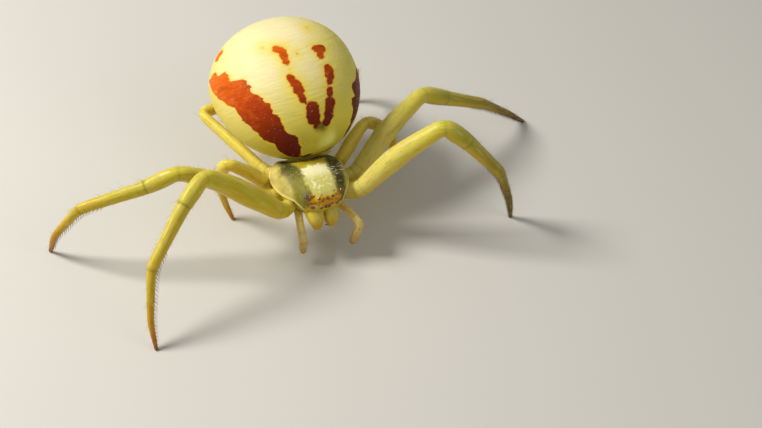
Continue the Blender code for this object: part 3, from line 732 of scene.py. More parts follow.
def build_carapace_bristles(material):
    """White bristles on the carapace: a few tall ones on its top, and short ones on its bands and face."""
    draws = np.random.default_rng(HAIR_SEED + 20)
    spots = []
    for x, y, spread_out, count in BRISTLE_CLUSTERS:
        for side in (-1, 1):
            spots.append(np.array([side * x, y]) + draws.normal(0.0, spread_out, (count, 2)))
    spots.append(np.stack([draws.uniform(-1.2, 1.2, 26), draws.uniform(-1.4, 0.3, 26)], axis=1))
    flat = np.concatenate(spots)
    directions = unit(np.concatenate([flat, np.full((len(flat), 1), 0.75)], axis=1))
    places = directions * prosoma_reach(directions)[:, None]
    out = way_out(prosoma_reach, places)
    ways = unit(out + np.array([0.0, -0.5, 0.0]) + draws.normal(0.0, 0.2, out.shape))
    tall = np.arange(len(flat)) < len(flat) - 26
    lengths = np.where(tall, draws.uniform(0.24, 0.42, len(flat)), draws.uniform(0.07, 0.13, len(flat)))
    widths = np.where(tall, 0.0085, 0.006)
    droops = np.tile([0.0, -0.1, 0.0], (len(flat), 1))
    points, faces, patches = strands(places + PROSOMA - out * 0.01, ways, droops, lengths, widths,
                                     ball_unwrap(directions))
    make_piece("carapace_bristles", points, faces, material, patches=patches)


def build_abdomen_hairs(material):
    """Very short pale hairs, far apart, leaning back over the abdomen."""
    draws = np.random.default_rng(HAIR_SEED + 21)
    directions = unit(draws.normal(0.0, 1.0, (ABDOMEN_HAIRS, 3)))
    places = directions * abdomen_reach(directions)[:, None]
    out = way_out(abdomen_reach, places)
    back = np.array([0.0, 1.0, 0.0]) - out * out[:, 1:2]
    ways = unit(out * 0.75 + back * 0.9 + draws.normal(0.0, 0.15, out.shape))
    lengths = draws.uniform(0.06, 0.12, len(out))
    axes = abdomen_axes()
    points, faces, patches = strands((places - out * 0.01) @ axes + ABDOMEN, ways @ axes, back @ axes * 0.4, lengths,
                                     0.005 + 0.0 * lengths, ball_unwrap(directions))
    make_piece("abdomen_hairs", points, faces, material, patches=patches)


def build_face_hairs(hair, claw):
    """Bristles on the palps and jaws, and the two short fangs."""
    draws = np.random.default_rng(HAIR_SEED + 22)
    for name in PALPS:
        limb = palp(name)
        length = limb.line.length
        marks = 0.3 * length + 0.68 * length * draws.random(130) ** 0.7
        sizes = draws.uniform(0.1, 0.2, 130)
        points, faces, patches = along_limb(limb, marks, draws.uniform(0, 2 * np.pi, 130),
                                            draws.uniform(0.5, 1.0, 130), sizes, 0.006 + 0.0 * sizes, draws)
        make_piece(f"hairs_{name}", points, faces, hair, patches=patches)
    for side, name in ((1, "left"), (-1, "right")):
        limb = chelicera(side)
        length = limb.line.length
        marks = draws.uniform(0.45, 0.95, 20) * length
        sizes = draws.uniform(0.07, 0.14, 20)
        points, faces, patches = along_limb(limb, marks, draws.uniform(-1.3, 1.3, 20), draws.uniform(0.4, 0.9, 20),
                                            sizes, 0.006 + 0.0 * sizes, draws)
        make_piece(f"hairs_chelicera_{name}", points, faces, hair, patches=patches)
        tip = limb.line.place(np.array([length - 0.06]))
        root = tip + np.array([[-side * 0.02, 0.05, 0.0]])
        way = unit(np.array([[-side * 0.5, 0.45, -0.5]]))
        points, faces, patches = strands(root, way, np.array([[-side * 0.25, 0.35, 0.0]]), np.array([0.22]),
                                         np.array([0.06]), np.zeros((1, 2)), 8, 10)
        make_piece(f"fang_{name}", points, faces, claw, patches=patches)


def abdomen_place(turn, share):
    """The place on the abdomen at an angle from its top line and a share of the way to an end."""
    size = ABDOMEN_SIZE
    power = size["squareness"]
    turn = np.radians(turn)
    across, upward = np.sin(turn), np.cos(turn)
    width = ((1 - abs(share) ** power) / (abs(across) ** power + abs(upward) ** power)) ** (1 / power)
    return np.array([across * width * size["half_width"], share * (size["rear"] if share > 0 else size["front"]),
                     upward * width * (size["top"] if upward > 0 else size["bottom"])])


def capsule_distance(places, start, end, radius):
    """How deep each place lies inside a round-ended stroke from start to end; negative outside."""
    run = end - start
    along = np.clip(((places - start) @ run) / max(run @ run, 1e-9), 0.0, 1.0)
    return radius - np.linalg.norm(places - start - along[:, None] * run, axis=1)


def abdomen_marks(places):
    """The abdomen's pattern at each of its own places, as depths in millimetres inside each marking."""
    size = ABDOMEN_SIZE
    x, y, z = places.T
    share = y / np.where(y > 0, size["rear"], size["front"])
    turn = np.degrees(np.arctan2(x / size["half_width"], z / np.where(z > 0, size["top"], size["bottom"])))
    millimetres = np.radians(1.0) * size["half_width"] * np.sqrt(np.clip(1.0 - share**2, 0.03, 1.0))
    around = np.abs(turn)
    top = np.where(turn > 0, *(np.interp(share, *np.array(edge, float).T) for edge in (BAND_TOP_LEFT, BAND_TOP_RIGHT)))
    below_top = (around - top) * millimetres
    above_foot = (np.interp(share, *np.array(BAND_FOOT, float).T) - around) * millimetres
    end = (BAND_END - share) * size["rear"]
    start = (share - BAND_START) * size["front"]
    band = np.minimum(np.minimum(below_top, above_foot), np.minimum(start, end))
    mirrored = np.stack([-np.abs(x), y, z], axis=1)
    patch_turn, patch_share, patch_radius = REAR_PATCH
    patch = abdomen_place(-patch_turn, patch_share)
    band = np.maximum(band, capsule_distance(mirrored, patch, patch + 1e-6, patch_radius))
    strokes = [capsule_distance(places, abdomen_place(*spot[:2]), abdomen_place(*spot[2:4]), spot[4])
               for spot in SPOTS]
    lungs = capsule_distance(-mirrored * [1, -1, -1], *map(np.array, LUNG_COVER))
    epigyne = capsule_distance(-mirrored * [1, -1, -1], *map(np.array, EPIGYNE))
    swept = np.hypot(np.radians(turn) * size["half_width"], 1.0) - 1.0
    return dict(band=band, spots=np.max(strokes, axis=0), along=y, beside=x, below=-z, lungs=lungs,
                epigyne=epigyne, fold=y - (FOLD_SWEEP[0] + FOLD_SWEEP[1] * y) * swept)


def build_abdomen(material):
    """The abdomen's skin, with its markings as attributes, in place of its solid.

    In front of the spots the skin has a short crease, and before that a low swelling.
    """
    directions, faces = ball_grid(BODY_FACES)
    reach = abdomen_reach(directions)
    places = directions * reach[:, None]
    start, end = (abdomen_place(*spot) for spot in CREASE)
    from_crease = capsule_distance(places, start, end, 0.0)
    from_swelling = np.linalg.norm(places - abdomen_place(*SWELLING), axis=1)
    mirrored = np.stack([np.abs(places[:, 0]), places[:, 1], places[:, 2]], axis=1)
    from_furrow = capsule_distance(mirrored, *map(np.array, FURROW))
    relief = 0.09 * bump_at(from_swelling, 0.0, 0.5) - 0.16 * bump_at(from_crease, 0.0, 0.14)
    relief = relief - 0.06 * bump_at(from_furrow, 0.0, 0.1)
    places = directions * (reach + relief)[:, None]
    marks = abdomen_marks(places) | dict(crease=from_crease, swelling=from_swelling)
    piece = make_piece("abdomen_skin", places @ abdomen_axes() + ABDOMEN, [faces], material, marks)
    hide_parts("abdomen")


def rim_height(places):
    """The height of the carapace's rim above the prosoma's middle, on the way from it to each place."""
    ahead = np.degrees(np.arctan2(np.abs(places[:, 0]), -places[:, 1]))
    return np.interp(ahead, *np.array(RIM, float).T)


def carapace_marks(places):
    """The prosoma's pattern at each place from its middle, as depths in millimetres in each marking."""
    x, y, z = places.T
    forward, inner, outer = np.array(CARAPACE_BAND).T
    band = np.minimum(np.abs(x) - np.interp(y, forward, inner), np.interp(y, forward, outer) - np.abs(x))
    mirrored = np.stack([np.abs(x), y, z], axis=1)
    face = capsule_distance(mirrored, np.array([0.0, -1.66, 0.24]), np.array([0.55, -1.5, 0.3]), 0.3)
    side_eyes = capsule_distance(mirrored, np.array([0.76, -1.42, 0.46]), np.array([0.78, -1.4, 0.44]), 0.22)
    brow = capsule_distance(mirrored, np.array([0.0, -1.72, 0.02]), np.array([0.5, -1.62, 0.06]), 0.09)
    clypeus = capsule_distance(mirrored, np.array([0.0, -1.75, -0.3]), np.array([0.6, -1.65, -0.3]), 0.36)
    sternum = 1.0 - np.hypot(x / STERNUM[0], (y + 0.1 * np.abs(x)) / STERNUM[1]) - 2.0 * np.clip(z + 0.3, 0.0, 1.0)
    return dict(band=band, face=face, brow=brow, clypeus=clypeus, ring=side_eyes, rim=z - rim_height(places),
                forward=-y, middle=np.abs(x), across=x, sternum=sternum)


def build_prosoma(material):
    """The prosoma's skin: the carapace with its raised rim, and the sternum below, as one piece.

    Out along each direction the skin gets a ridge at the rim and a hollow under it, a low swelling
    round each eye, and a shallow groove from the middle of the back towards each side of the head.
    """
    directions, faces = ball_grid(BODY_FACES)
    reach = prosoma_reach(directions)
    places = directions * reach[:, None]
    rim = places[:, 2] - rim_height(places)
    side = np.clip(1.0 - np.abs(directions[:, 2]) * 1.2, 0.0, 1.0)
    relief = side * (0.05 * bump_at(rim, 0.0, 0.06) - 0.1 * bump_at(rim, -0.22, 0.13))
    mirrored = np.stack([np.abs(places[:, 0]), places[:, 1], places[:, 2]], axis=1)
    for x, y, z, radius in EYES.values():
        eye = unit(np.array([[x, y, z]]))
        gap = np.linalg.norm(mirrored - eye * prosoma_reach(eye), axis=1)
        relief = relief + 0.045 * bump_at(gap, 0.0, 1.7 * radius) - 0.035 * bump_at(gap, 0.0, 0.9 * radius)
    above = np.clip(places[:, 2] / 0.4, 0.0, 1.0)
    groove = capsule_distance(mirrored, np.array([0.1, 0.25, 0.9]), np.array([0.85, -0.65, 0.6]), 0.0)
    relief = relief - 0.03 * above * bump_at(groove, 0.0, 0.14)
    places = directions * (reach + relief)[:, None]
    piece = make_piece("prosoma_skin", places + PROSOMA, [faces], material, carapace_marks(places))
    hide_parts("prosoma")


def build_mouthparts(material):
    """The labium and the two endites, flattened balls under the head, as one piece."""
    directions, faces = ball_grid(16)
    parts, stations = [], []
    for (place, sizes), sides in ((LABIUM, (1,)), (ENDITE, (1, -1))):
        for side in sides:
            middle = PROSOMA + np.array(place) * np.array([side, 1.0, 1.0])
            parts.append((directions * np.array(sizes) + middle, [faces], np.zeros((len(directions), 2))))
            stations.append(0.5 - directions[:, 1] / 2)
    points, faces, _ = joined(parts)
    station = np.concatenate(stations)
    attributes = dict(station=station, seam=0.0 * station, top=0.0 * station, length=station, side=station)
    make_piece("mouthparts", points, faces, material, attributes)


def build_eyes(material):
    """Eight round shiny eyes in the solids' places."""
    directions, faces = ball_grid(12)
    for eye, (x, y, z, radius) in EYES.items():
        for side, mirror in (("left", 1), ("right", -1)):
            way = unit(np.array([[mirror * x, y, z]]))
            middle = PROSOMA + way[0] * (prosoma_reach(way)[0] - EYE_SUNK * radius)
            piece = make_piece(f"{eye}_{side}_globe", directions * radius + middle, [faces], material)
            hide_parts(f"{eye}_{side}")


def node(tree, kind, values=None, **settings):
    """A shader node with its settings, and its inputs set to a number or joined to another's output."""
    made = tree.nodes.new(f"ShaderNode{kind}")
    for name, value in settings.items():
        setattr(made, name, value)
    for name, value in (values or {}).items():
        if isinstance(value, bpy.types.NodeSocket):
            tree.links.new(value, made.inputs[name])
        else:
            made.inputs[name].default_value = value
    return made


def attribute(tree, name):
    """A piece's own number at each point."""
    return node(tree, "Attribute", attribute_name=name).outputs["Fac"]


def maths(tree, operation, first, second=0.0, third=0.0):
    """One sum on two or three numbers."""
    return node(tree, "Math", {0: first, 1: second, 2: third}, operation=operation).outputs[0]


def mix(tree, mask, first, second):
    """The first colour where the mask is nought, the second where it is one."""
    first, second = (value if isinstance(value, bpy.types.NodeSocket) else (*value, 1.0)
                     for value in (first, second))
    return node(tree, "Mix", {0: mask, 6: first, 7: second}, data_type="RGBA").outputs[2]


def ramp(tree, value, low, high):
    """Nought at the low value, one at the high one, smooth between."""
    return node(tree, "MapRange", {0: value, 1: low, 2: high}, interpolation_type="SMOOTHSTEP").outputs[0]


def object_noise(tree, scale, detail=3.0, stretch=(1.0, 1.0, 1.0)):
    """Cloudy noise in the piece's own space, scale in waves to a metre."""
    place = node(tree, "TexCoord").outputs["Object"]
    place = node(tree, "Mapping", {"Vector": place, "Scale": stretch}).outputs[0]
    return node(tree, "TexNoise", {"Vector": place, "Scale": scale, "Detail": detail}).outputs[0]


def group(name, inputs, outputs):
    """An empty shader group with named number or vector sockets, and its two end nodes."""
    tree = bpy.data.node_groups.new(name, "ShaderNodeTree")
    for title, kind, default in inputs:
        socket = tree.interface.new_socket(title, in_out="INPUT", socket_type=f"NodeSocket{kind}")
        socket.default_value = default
    for title, kind in outputs:
        tree.interface.new_socket(title, in_out="OUTPUT", socket_type=f"NodeSocket{kind}")
    start, end = tree.nodes.new("NodeGroupInput"), tree.nodes.new("NodeGroupOutput")
    return tree, start.outputs, end.inputs


def use(tree, shared, values=None):
    """A shared group placed in a material with its own values."""
    made = tree.nodes.new("ShaderNodeGroup")
    made.node_tree = shared
    for name, value in (values or {}).items():
        if isinstance(value, bpy.types.NodeSocket):
            tree.links.new(value, made.inputs[name])
        else:
            made.inputs[name].default_value = value
    return made.outputs


def cuticle_group():
    """The fine grain of a spider's skin: soft dimples with finer pores over them, as a normal."""
    tree, start, end = group("cuticle", (("Waves", "Float", 9000.0), ("Height", "Float", 0.000004)),
                             (("Normal", "Vector"), ("Grain", "Float")))
    broad = object_noise(tree, start["Waves"], 2.0)
    place = node(tree, "TexCoord").outputs["Object"]
    fine = node(tree, "TexVoronoi", {"Vector": place, "Scale": maths(tree, "MULTIPLY", start["Waves"], 2.2)})
    both = maths(tree, "MULTIPLY_ADD", fine.outputs["Distance"], 0.35, broad)
    bump = node(tree, "Bump", {"Strength": 1.0, "Distance": start["Height"], "Height": both})
    tree.links.new(bump.outputs[0], end["Normal"])
    tree.links.new(both, end["Grain"])
    return tree


def ragged_group():
    """A marking's mask from its depth: its edge is frayed by noise that runs across it."""
    tree, start, end = group("ragged_edge", (("Depth", "Float", 0.0), ("Fray", "Float", 0.0),
                                             ("Amount", "Float", 0.1), ("Softness", "Float", 0.04)),
                             (("Mask", "Float"),))
    frayed = maths(tree, "MULTIPLY_ADD", maths(tree, "SUBTRACT", start["Fray"], 0.5), start["Amount"],
                   start["Depth"])
    low = maths(tree, "MULTIPLY", start["Softness"], -1.0)
    tree.links.new(ramp(tree, frayed, low, start["Softness"]), end["Mask"])
    return tree


def new_material(name, roughness, flesh, glow=(1.0, 0.75, 0.25), gloss=0.5):
    """A material's tree and shader: skin with a little light passing through its outer flesh."""
    material = bpy.data.materials.new(name)
    material.use_nodes = True
    tree = material.node_tree
    shader = tree.nodes["Principled BSDF"]
    shader.inputs["Roughness"].default_value = roughness
    shader.inputs["Subsurface Weight"].default_value = flesh
    shader.inputs["Subsurface Radius"].default_value = glow
    shader.inputs["Subsurface Scale"].default_value = 0.00035
    shader.inputs["Specular IOR Level"].default_value = gloss
    return material, tree, shader


def surface_vector(tree, names, stretch):
    """A vector from two or three of a piece's own numbers, each times its own factor."""
    parts = {axis: maths(tree, "MULTIPLY", attribute(tree, name), factor)
             for axis, name, factor in zip("XYZ", names, stretch)}
    return node(tree, "CombineXYZ", parts).outputs[0]


def abdomen_material(cuticle, ragged):
    """Cream skin with faint cross lines, and red bands and spots, with painted shade low down, at the front, on her
    left side and in the crease, and a painted highlight on the swelling.
    """
    material, tree, shader = new_material("abdomen_finish", 0.5, 0.3, (1.0, 0.72, 0.2), 0.15)
    along, beside, below = (attribute(tree, name) for name in ("along", "beside", "below"))
    place = ("fold", "beside", "below")
    streak = node(tree, "TexNoise", {"Vector": surface_vector(tree, place, (4.0, 1.1, 1.1)),
                                     "Scale": 1.0, "Detail": 4.0, "Roughness": 0.6}).outputs[0]
    fine = node(tree, "TexNoise", {"Vector": surface_vector(tree, place, (9.0, 1.3, 1.3)),
                                   "Scale": 1.0, "Detail": 2.0}).outputs[0]
    cloud = object_noise(tree, 700.0)
    speck = object_noise(tree, 3600.0, 4.0)
    # Partly painted shade: the skin deepens from cream to yellow lower down and towards the front. This is partly its
    # own tone and partly standing in for shade.
    low = ramp(tree, maths(tree, "MULTIPLY_ADD", cloud, 1.2, below), -2.0, 1.5)
    ahead = maths(tree, "MULTIPLY", along, -1.0)
    front = ramp(tree, ahead, 0.4, 3.5)
    skin = mix(tree, low, (0.82, 0.735, 0.42), (0.7, 0.57, 0.09))
    skin = mix(tree, maths(tree, "MULTIPLY", front, 0.8), skin, (0.68, 0.58, 0.02))
    # Painted shade: her left side, away from the key light, is painted a deeper, darker yellow.
    left = ramp(tree, maths(tree, "MULTIPLY_ADD", cloud, 0.8, beside), 0.6, 2.5)
    skin = mix(tree, maths(tree, "MULTIPLY", left, 0.7), skin, (0.72, 0.63, 0.035))
    # Painted shade: the very front end of the abdomen, where it overhangs the carapace, is darkened.
    skin = mix(tree, maths(tree, "MULTIPLY", ramp(tree, ahead, 2.9, 3.5), 0.45), skin, (0.3, 0.27, 0.004))
    # Painted highlight: the low swelling in front of the crease is paler.
    swelling_highlight = maths(tree, "MULTIPLY_ADD", maths(tree, "SUBTRACT", cloud, 0.5), 1.4, attribute(tree, "swelling"))
    skin = mix(tree, maths(tree, "MULTIPLY", ramp(tree, swelling_highlight, 0.7, 0.1), 0.8), skin, (0.86, 0.8, 0.22))
    lines = maths(tree, "MULTIPLY", ramp(tree, fine, 0.4, 0.75), 0.22)
    skin = mix(tree, lines, skin, (0.6, 0.56, 0.12))
    lungs = maths(tree, "MULTIPLY", ramp(tree, attribute(tree, "lungs"), -0.06, 0.06), 0.6)
    skin = mix(tree, lungs, skin, (0.8, 0.62, 0.2))
    skin = mix(tree, ramp(tree, attribute(tree, "epigyne"), -0.04, 0.05), skin, (0.3, 0.11, 0.01))
    spots = attribute(tree, "spots")
    wide = maths(tree, "MULTIPLY", ramp(tree, maths(tree, "MULTIPLY_ADD", cloud, 0.3, spots), -0.55, 0.2), 0.6)
    skin = mix(tree, wide, skin, (0.78, 0.64, 0.07))
    near = maths(tree, "MULTIPLY", ramp(tree, spots, -0.14, 0.02), 0.7)
    skin = mix(tree, near, skin, (0.85, 0.55, 0.03))
    band = attribute(tree, "band")
    edge = maths(tree, "MULTIPLY", ramp(tree, band, -0.2, 0.02), 0.6)
    skin = mix(tree, edge, skin, (0.87, 0.62, 0.05))
    # Painted shade: dark olive in the crease in front of the spots.
    fold = maths(tree, "MULTIPLY", ramp(tree, attribute(tree, "crease"), -0.36, -0.02), 0.85)
    skin = mix(tree, fold, skin, (0.16, 0.14, 0.002))
    both = maths(tree, "MULTIPLY_ADD", fine, 0.35, maths(tree, "MULTIPLY", streak, 0.65))
    mask = use(tree, ragged, {"Depth": band, "Fray": both, "Amount": 0.6, "Softness": 0.035})["Mask"]
    spot_mask = use(tree, ragged, {"Depth": spots, "Fray": both, "Amount": 0.38, "Softness": 0.04})["Mask"]
    mask = maths(tree, "MAXIMUM", mask, spot_mask)
    # Partly painted shade: the red runs from orange at the rear to dark maroon at the front. This is partly the
    # marking's own colour and partly shade on the abdomen's front.
    red = mix(tree, ramp(tree, ahead, -1.2, 1.8), (0.72, 0.135, 0.001), (0.44, 0.045, 0.001))
    mottle = maths(tree, "MULTIPLY", ramp(tree, speck, 0.45, 0.68), 0.4)
    red = mix(tree, mottle, red, (0.8, 0.18, 0.001))
    dusk = maths(tree, "MULTIPLY", ramp(tree, streak, 0.5, 0.7), 0.35)
    red = mix(tree, dusk, red, (0.14, 0.012, 0.001))
    # Partly painted shade: the red darkens further towards the very front.
    red = mix(tree, ramp(tree, maths(tree, "MULTIPLY_ADD", speck, 0.8, ahead), 1.2, 4.1), red, (0.12, 0.004, 0.001))
    # Painted shade: the red band on her left side, away from the key light, is darkened.
    red = mix(tree, maths(tree, "MULTIPLY", left, 0.8), red, (0.08, 0.005, 0.001))
    colour = mix(tree, mask, skin, red)
    tree.links.new(colour, shader.inputs["Base Color"])
    grain = use(tree, cuticle, {"Waves": 7000.0, "Height": 0.000007})["Normal"]
    lined = node(tree, "Bump", {"Strength": 1.0, "Distance": 0.000024, "Height": fine, "Normal": grain})
    tree.links.new(lined.outputs[0], shader.inputs["Normal"])
    return material


def carapace_material(cuticle, ragged):
    """Clear green skin with dark side bands, a white middle, a pale rim and a warm eye area, with painted light on her
    right band and the clypeus, and painted shade behind the white patch.
    """
    material, tree, shader = new_material("carapace_finish", 0.5, 0.2, (0.8, 0.7, 0.15), 0.22)
    cloud = object_noise(tree, 2200.0)
    speck = object_noise(tree, 6500.0, 3.0)
    middle, forward, rim = (attribute(tree, name) for name in ("middle", "forward", "rim"))
    skin = mix(tree, ramp(tree, cloud, 0.35, 0.7), (0.42, 0.35, 0.06), (0.6, 0.5, 0.16))
    frayed = maths(tree, "MULTIPLY_ADD", maths(tree, "SUBTRACT", speck, 0.5), 0.5, middle)
    shifted = maths(tree, "MULTIPLY_ADD", maths(tree, "SUBTRACT", speck, 0.5), 0.35, forward)
    centre = maths(tree, "MULTIPLY", ramp(tree, frayed, 0.75, 0.5), ramp(tree, shifted, 0.1, 0.22))
    white = mix(tree, ramp(tree, shifted, 0.45, 0.95), (0.86, 0.83, 0.5), (0.6, 0.56, 0.16))
    white = mix(tree, maths(tree, "MULTIPLY", ramp(tree, speck, 0.52, 0.66), ramp(tree, forward, 0.3, 0.6)),
                white, (0.82, 0.8, 0.45))
    skin = mix(tree, centre, skin, white)
    # Partly painted shade: the darker olive strip behind the white patch, under the abdomen's overhang, is partly its
    # own colour and partly the abdomen's shadow painted on.
    mustard_and_shade = maths(tree, "MULTIPLY", ramp(tree, shifted, 0.16, 0.04), ramp(tree, frayed, 0.85, 0.6))
    skin = mix(tree, mustard_and_shade, skin, (0.44, 0.34, 0.01))
    mask = use(tree, ragged, {"Depth": attribute(tree, "band"), "Fray": speck, "Amount": 0.35,
                              "Softness": 0.13})["Mask"]
    # Painted light: the dark side band on her right, which faces the key light, is paler towards the front.
    lit_side_paler = ramp(tree, maths(tree, "MULTIPLY_ADD", cloud, 0.8, forward), 0.1, 1.2)
    lit_side_paler = maths(tree, "MULTIPLY", lit_side_paler, ramp(tree, attribute(tree, "across"), 0.4, -0.4))
    dark = mix(tree, lit_side_paler, (0.03, 0.033, 0.002), (0.2, 0.185, 0.012))
    dark = mix(tree, maths(tree, "MULTIPLY", ramp(tree, speck, 0.5, 0.68), 0.3), dark, (0.34, 0.32, 0.1))
    above = ramp(tree, rim, -0.02, 0.14)
    skin = mix(tree, maths(tree, "MULTIPLY", maths(tree, "MULTIPLY", mask, above), 0.94), skin, dark)
    edge = maths(tree, "MULTIPLY", ramp(tree, rim, -0.1, -0.02), ramp(tree, rim, 0.1, 0.02))
    skin = mix(tree, maths(tree, "MULTIPLY", edge, 0.8), skin, (0.8, 0.68, 0.2))
    skin = mix(tree, ramp(tree, rim, -0.05, -0.2), skin, (0.48, 0.38, 0.05))
    sternum = attribute(tree, "sternum")
    skin = mix(tree, ramp(tree, sternum, -0.08, 0.0), skin, (0.3, 0.22, 0.02))
    skin = mix(tree, ramp(tree, sternum, 0.02, 0.08), skin, (0.62, 0.5, 0.16))
    # Partly painted light: the clypeus is warmer and brighter. This is partly its own colour and partly standing in
    # for light on its down-facing front.
    skin = mix(tree, ramp(tree, attribute(tree, "clypeus"), -0.05, 0.1), skin, (0.6, 0.4, 0.01))
    face = use(tree, ragged, {"Depth": attribute(tree, "face"), "Fray": speck, "Amount": 0.35,
                              "Softness": 0.07})["Mask"]
    warm = mix(tree, ramp(tree, cloud, 0.4, 0.6), (0.84, 0.54, 0.03), (0.6, 0.27, 0.003))
    warm = mix(tree, maths(tree, "MULTIPLY", ramp(tree, speck, 0.54, 0.61), 0.85), warm, (0.2, 0.04, 0.002))
    skin = mix(tree, face, skin, warm)
    brow = use(tree, ragged, {"Depth": attribute(tree, "brow"), "Fray": speck, "Amount": 0.3,
                              "Softness": 0.05})["Mask"]
    skin = mix(tree, brow, skin, (0.13, 0.025, 0.006))
    ring = ramp(tree, attribute(tree, "ring"), -0.06, 0.04)
    skin = mix(tree, maths(tree, "MULTIPLY", ring, 0.7), skin, (0.13, 0.12, 0.03))
    tree.links.new(skin, shader.inputs["Base Color"])
    dull = maths(tree, "MULTIPLY_ADD", ramp(tree, forward, -0.4, -1.0), 0.35, 0.5)
    tree.links.new(dull, shader.inputs["Roughness"])
    normal = use(tree, cuticle, {"Waves": 12000.0, "Height": 0.000004})["Normal"]
    tree.links.new(normal, shader.inputs["Normal"])
    return material


def limb_material(name, cuticle, colours, roughness=0.36, light=(0.64, 0.57, 0.14), deep=(0.42, 0.31, 0.006),
                  amber=0.5):
    """A limb's clear yellow-green skin, whose colour changes from joint to joint, with a line at each.

    Light and deep streaks run along it, the light ones only on its inner part. Its upper side is paler as a painted
    highlight, and its lower side glows amber as painted light passing through it.
    """
    material, tree, shader = new_material(name, roughness, 0.65, (1.0, 0.68, 0.08), 0.28)
    shader.inputs["Subsurface Scale"].default_value = 0.0006
    station = attribute(tree, "station")
    steps = node(tree, "ValToRGB", {0: station})
    inner = ramp(tree, station, 0.85, 0.5)
    band = steps.color_ramp
    for index, (place, colour) in enumerate(colours):
        stop = band.elements[index] if index < 2 else band.elements.new(place)
        stop.position = place
        stop.color = (*colour, 1.0)
    cloud = object_noise(tree, 2000.0)
    place = node(tree, "TexCoord").outputs["Object"]
    pore = node(tree, "TexVoronoi", {"Vector": place, "Scale": 5200.0}).outputs["Distance"]
    top = attribute(tree, "top")
    skin = mix(tree, maths(tree, "MULTIPLY", ramp(tree, cloud, 0.4, 0.75), 0.3), steps.outputs[0],
               (0.62, 0.38, 0.03))
    # Painted light: the lower side glows amber, standing in for light passing through the limb.
    under = maths(tree, "MULTIPLY", ramp(tree, top, 0.5, -0.6), amber)
    skin = mix(tree, maths(tree, "MULTIPLY", under, inner), skin, AMBER_UNDERSIDE_GLOW)
    # Painted highlight: the upper side is paler.
    pale = maths(tree, "MULTIPLY", ramp(tree, maths(tree, "MULTIPLY_ADD", cloud, 0.8, top), 0.6, 1.5), 0.25)
    skin = mix(tree, maths(tree, "MULTIPLY", pale, inner), skin, (0.74, 0.68, 0.28))
    streaks = surface_vector(tree, ("length", "top", "side"), (0.8, 1.7, 1.7))
    streaks = node(tree, "TexNoise", {"Vector": streaks, "Scale": 1.6, "Detail": 3.0}).outputs[0]
    bright = maths(tree, "MULTIPLY", ramp(tree, streaks, 0.5, 0.68), 0.5)
    skin = mix(tree, maths(tree, "MULTIPLY", bright, inner), skin, light)
    skin = mix(tree, maths(tree, "MULTIPLY", ramp(tree, streaks, 0.48, 0.3), 0.35), skin, deep)
    dots = maths(tree, "MULTIPLY", ramp(tree, pore, 0.2, 0.1), 0.35)
    skin = mix(tree, dots, skin, (0.2, 0.12, 0.004))
    seam = maths(tree, "MULTIPLY", attribute(tree, "seam"), 0.65)
    skin = mix(tree, seam, skin, tuple(0.55 * part for part in deep))
    tree.links.new(skin, shader.inputs["Base Color"])
    normal = use(tree, cuticle, {"Waves": 9000.0, "Height": 0.000007})["Normal"]
    tree.links.new(normal, shader.inputs["Normal"])
    return material


def hair_material(name, root, tip):
    """A bristle's finish, mottled between two tints."""
    material, tree, shader = new_material(name, 0.35, 0.0)
    colour = mix(tree, ramp(tree, object_noise(tree, 6000.0), 0.35, 0.65), root, tip)
    tree.links.new(colour, shader.inputs["Base Color"])
    return material


def eye_material():
    """A dark wet lens."""
    material, tree, shader = new_material("eye_finish", 0.08, 0.0, gloss=1.0)
    cloud = object_noise(tree, 12000.0)
    colour = mix(tree, ramp(tree, cloud, 0.35, 0.7), (0.06, 0.03, 0.014), (0.17, 0.08, 0.03))
    tree.links.new(colour, shader.inputs["Base Color"])
    return material


# A limb's colours from its root to its tip, each with its station: on a leg the stations are the root,
# the hip, the knee and the ends of the patella, tibia and metatarsus, a sixth apart, and the tip.
# The front legs as lit and shaded copies of one colouring. Those on her right face the key light. Those on her left
# are painted in shade, darker from the tibia to the tip, with a paler femur as painted sheen.
FRONT_RIGHT_LIT = ((0.0, (0.5, 0.36, 0.006)), (0.2, (0.58, 0.49, 0.004)), (0.33, (0.54, 0.49, 0.01)),
               (0.5, (0.46, 0.42, 0.004)), (0.62, (0.5, 0.41, 0.004)), (0.76, (0.47, 0.33, 0.002)),
               (0.88, (0.42, 0.18, 0.002)), (1.0, (0.18, 0.05, 0.002)))
FRONT_LEFT_SHADED = ((0.0, (0.52, 0.38, 0.01)), (0.2, (0.7, 0.62, 0.15)), (0.32, (0.62, 0.57, 0.05)),
              (0.42, (0.37, 0.37, 0.002)), (0.6, (0.29, 0.24, 0.001)), (0.76, (0.14, 0.1, 0.001)),
              (0.9, (0.07, 0.04, 0.001)), (1.0, (0.04, 0.02, 0.002)))
HIND = ((0.0, (0.54, 0.4, 0.02)), (0.2, (0.74, 0.61, 0.06)), (0.33, (0.72, 0.6, 0.06)),
        (0.5, (0.66, 0.53, 0.03)), (0.67, (0.6, 0.44, 0.02)), (0.83, (0.5, 0.31, 0.012)),
        (0.95, (0.34, 0.14, 0.008)), (1.0, (0.22, 0.08, 0.006)))
JAW = ((0.0, (0.5, 0.38, 0.004)), (0.6, (0.54, 0.41, 0.006)), (1.0, (0.44, 0.26, 0.006)))
# Painted light: the amber glow laid on a limb's lower side.
AMBER_UNDERSIDE_GLOW = (0.68, 0.46, 0.006)
PALP = ((0.0, (0.56, 0.44, 0.08)), (0.6, (0.58, 0.45, 0.15)), (0.9, (0.46, 0.3, 0.09)),
        (1.0, (0.26, 0.13, 0.04)))


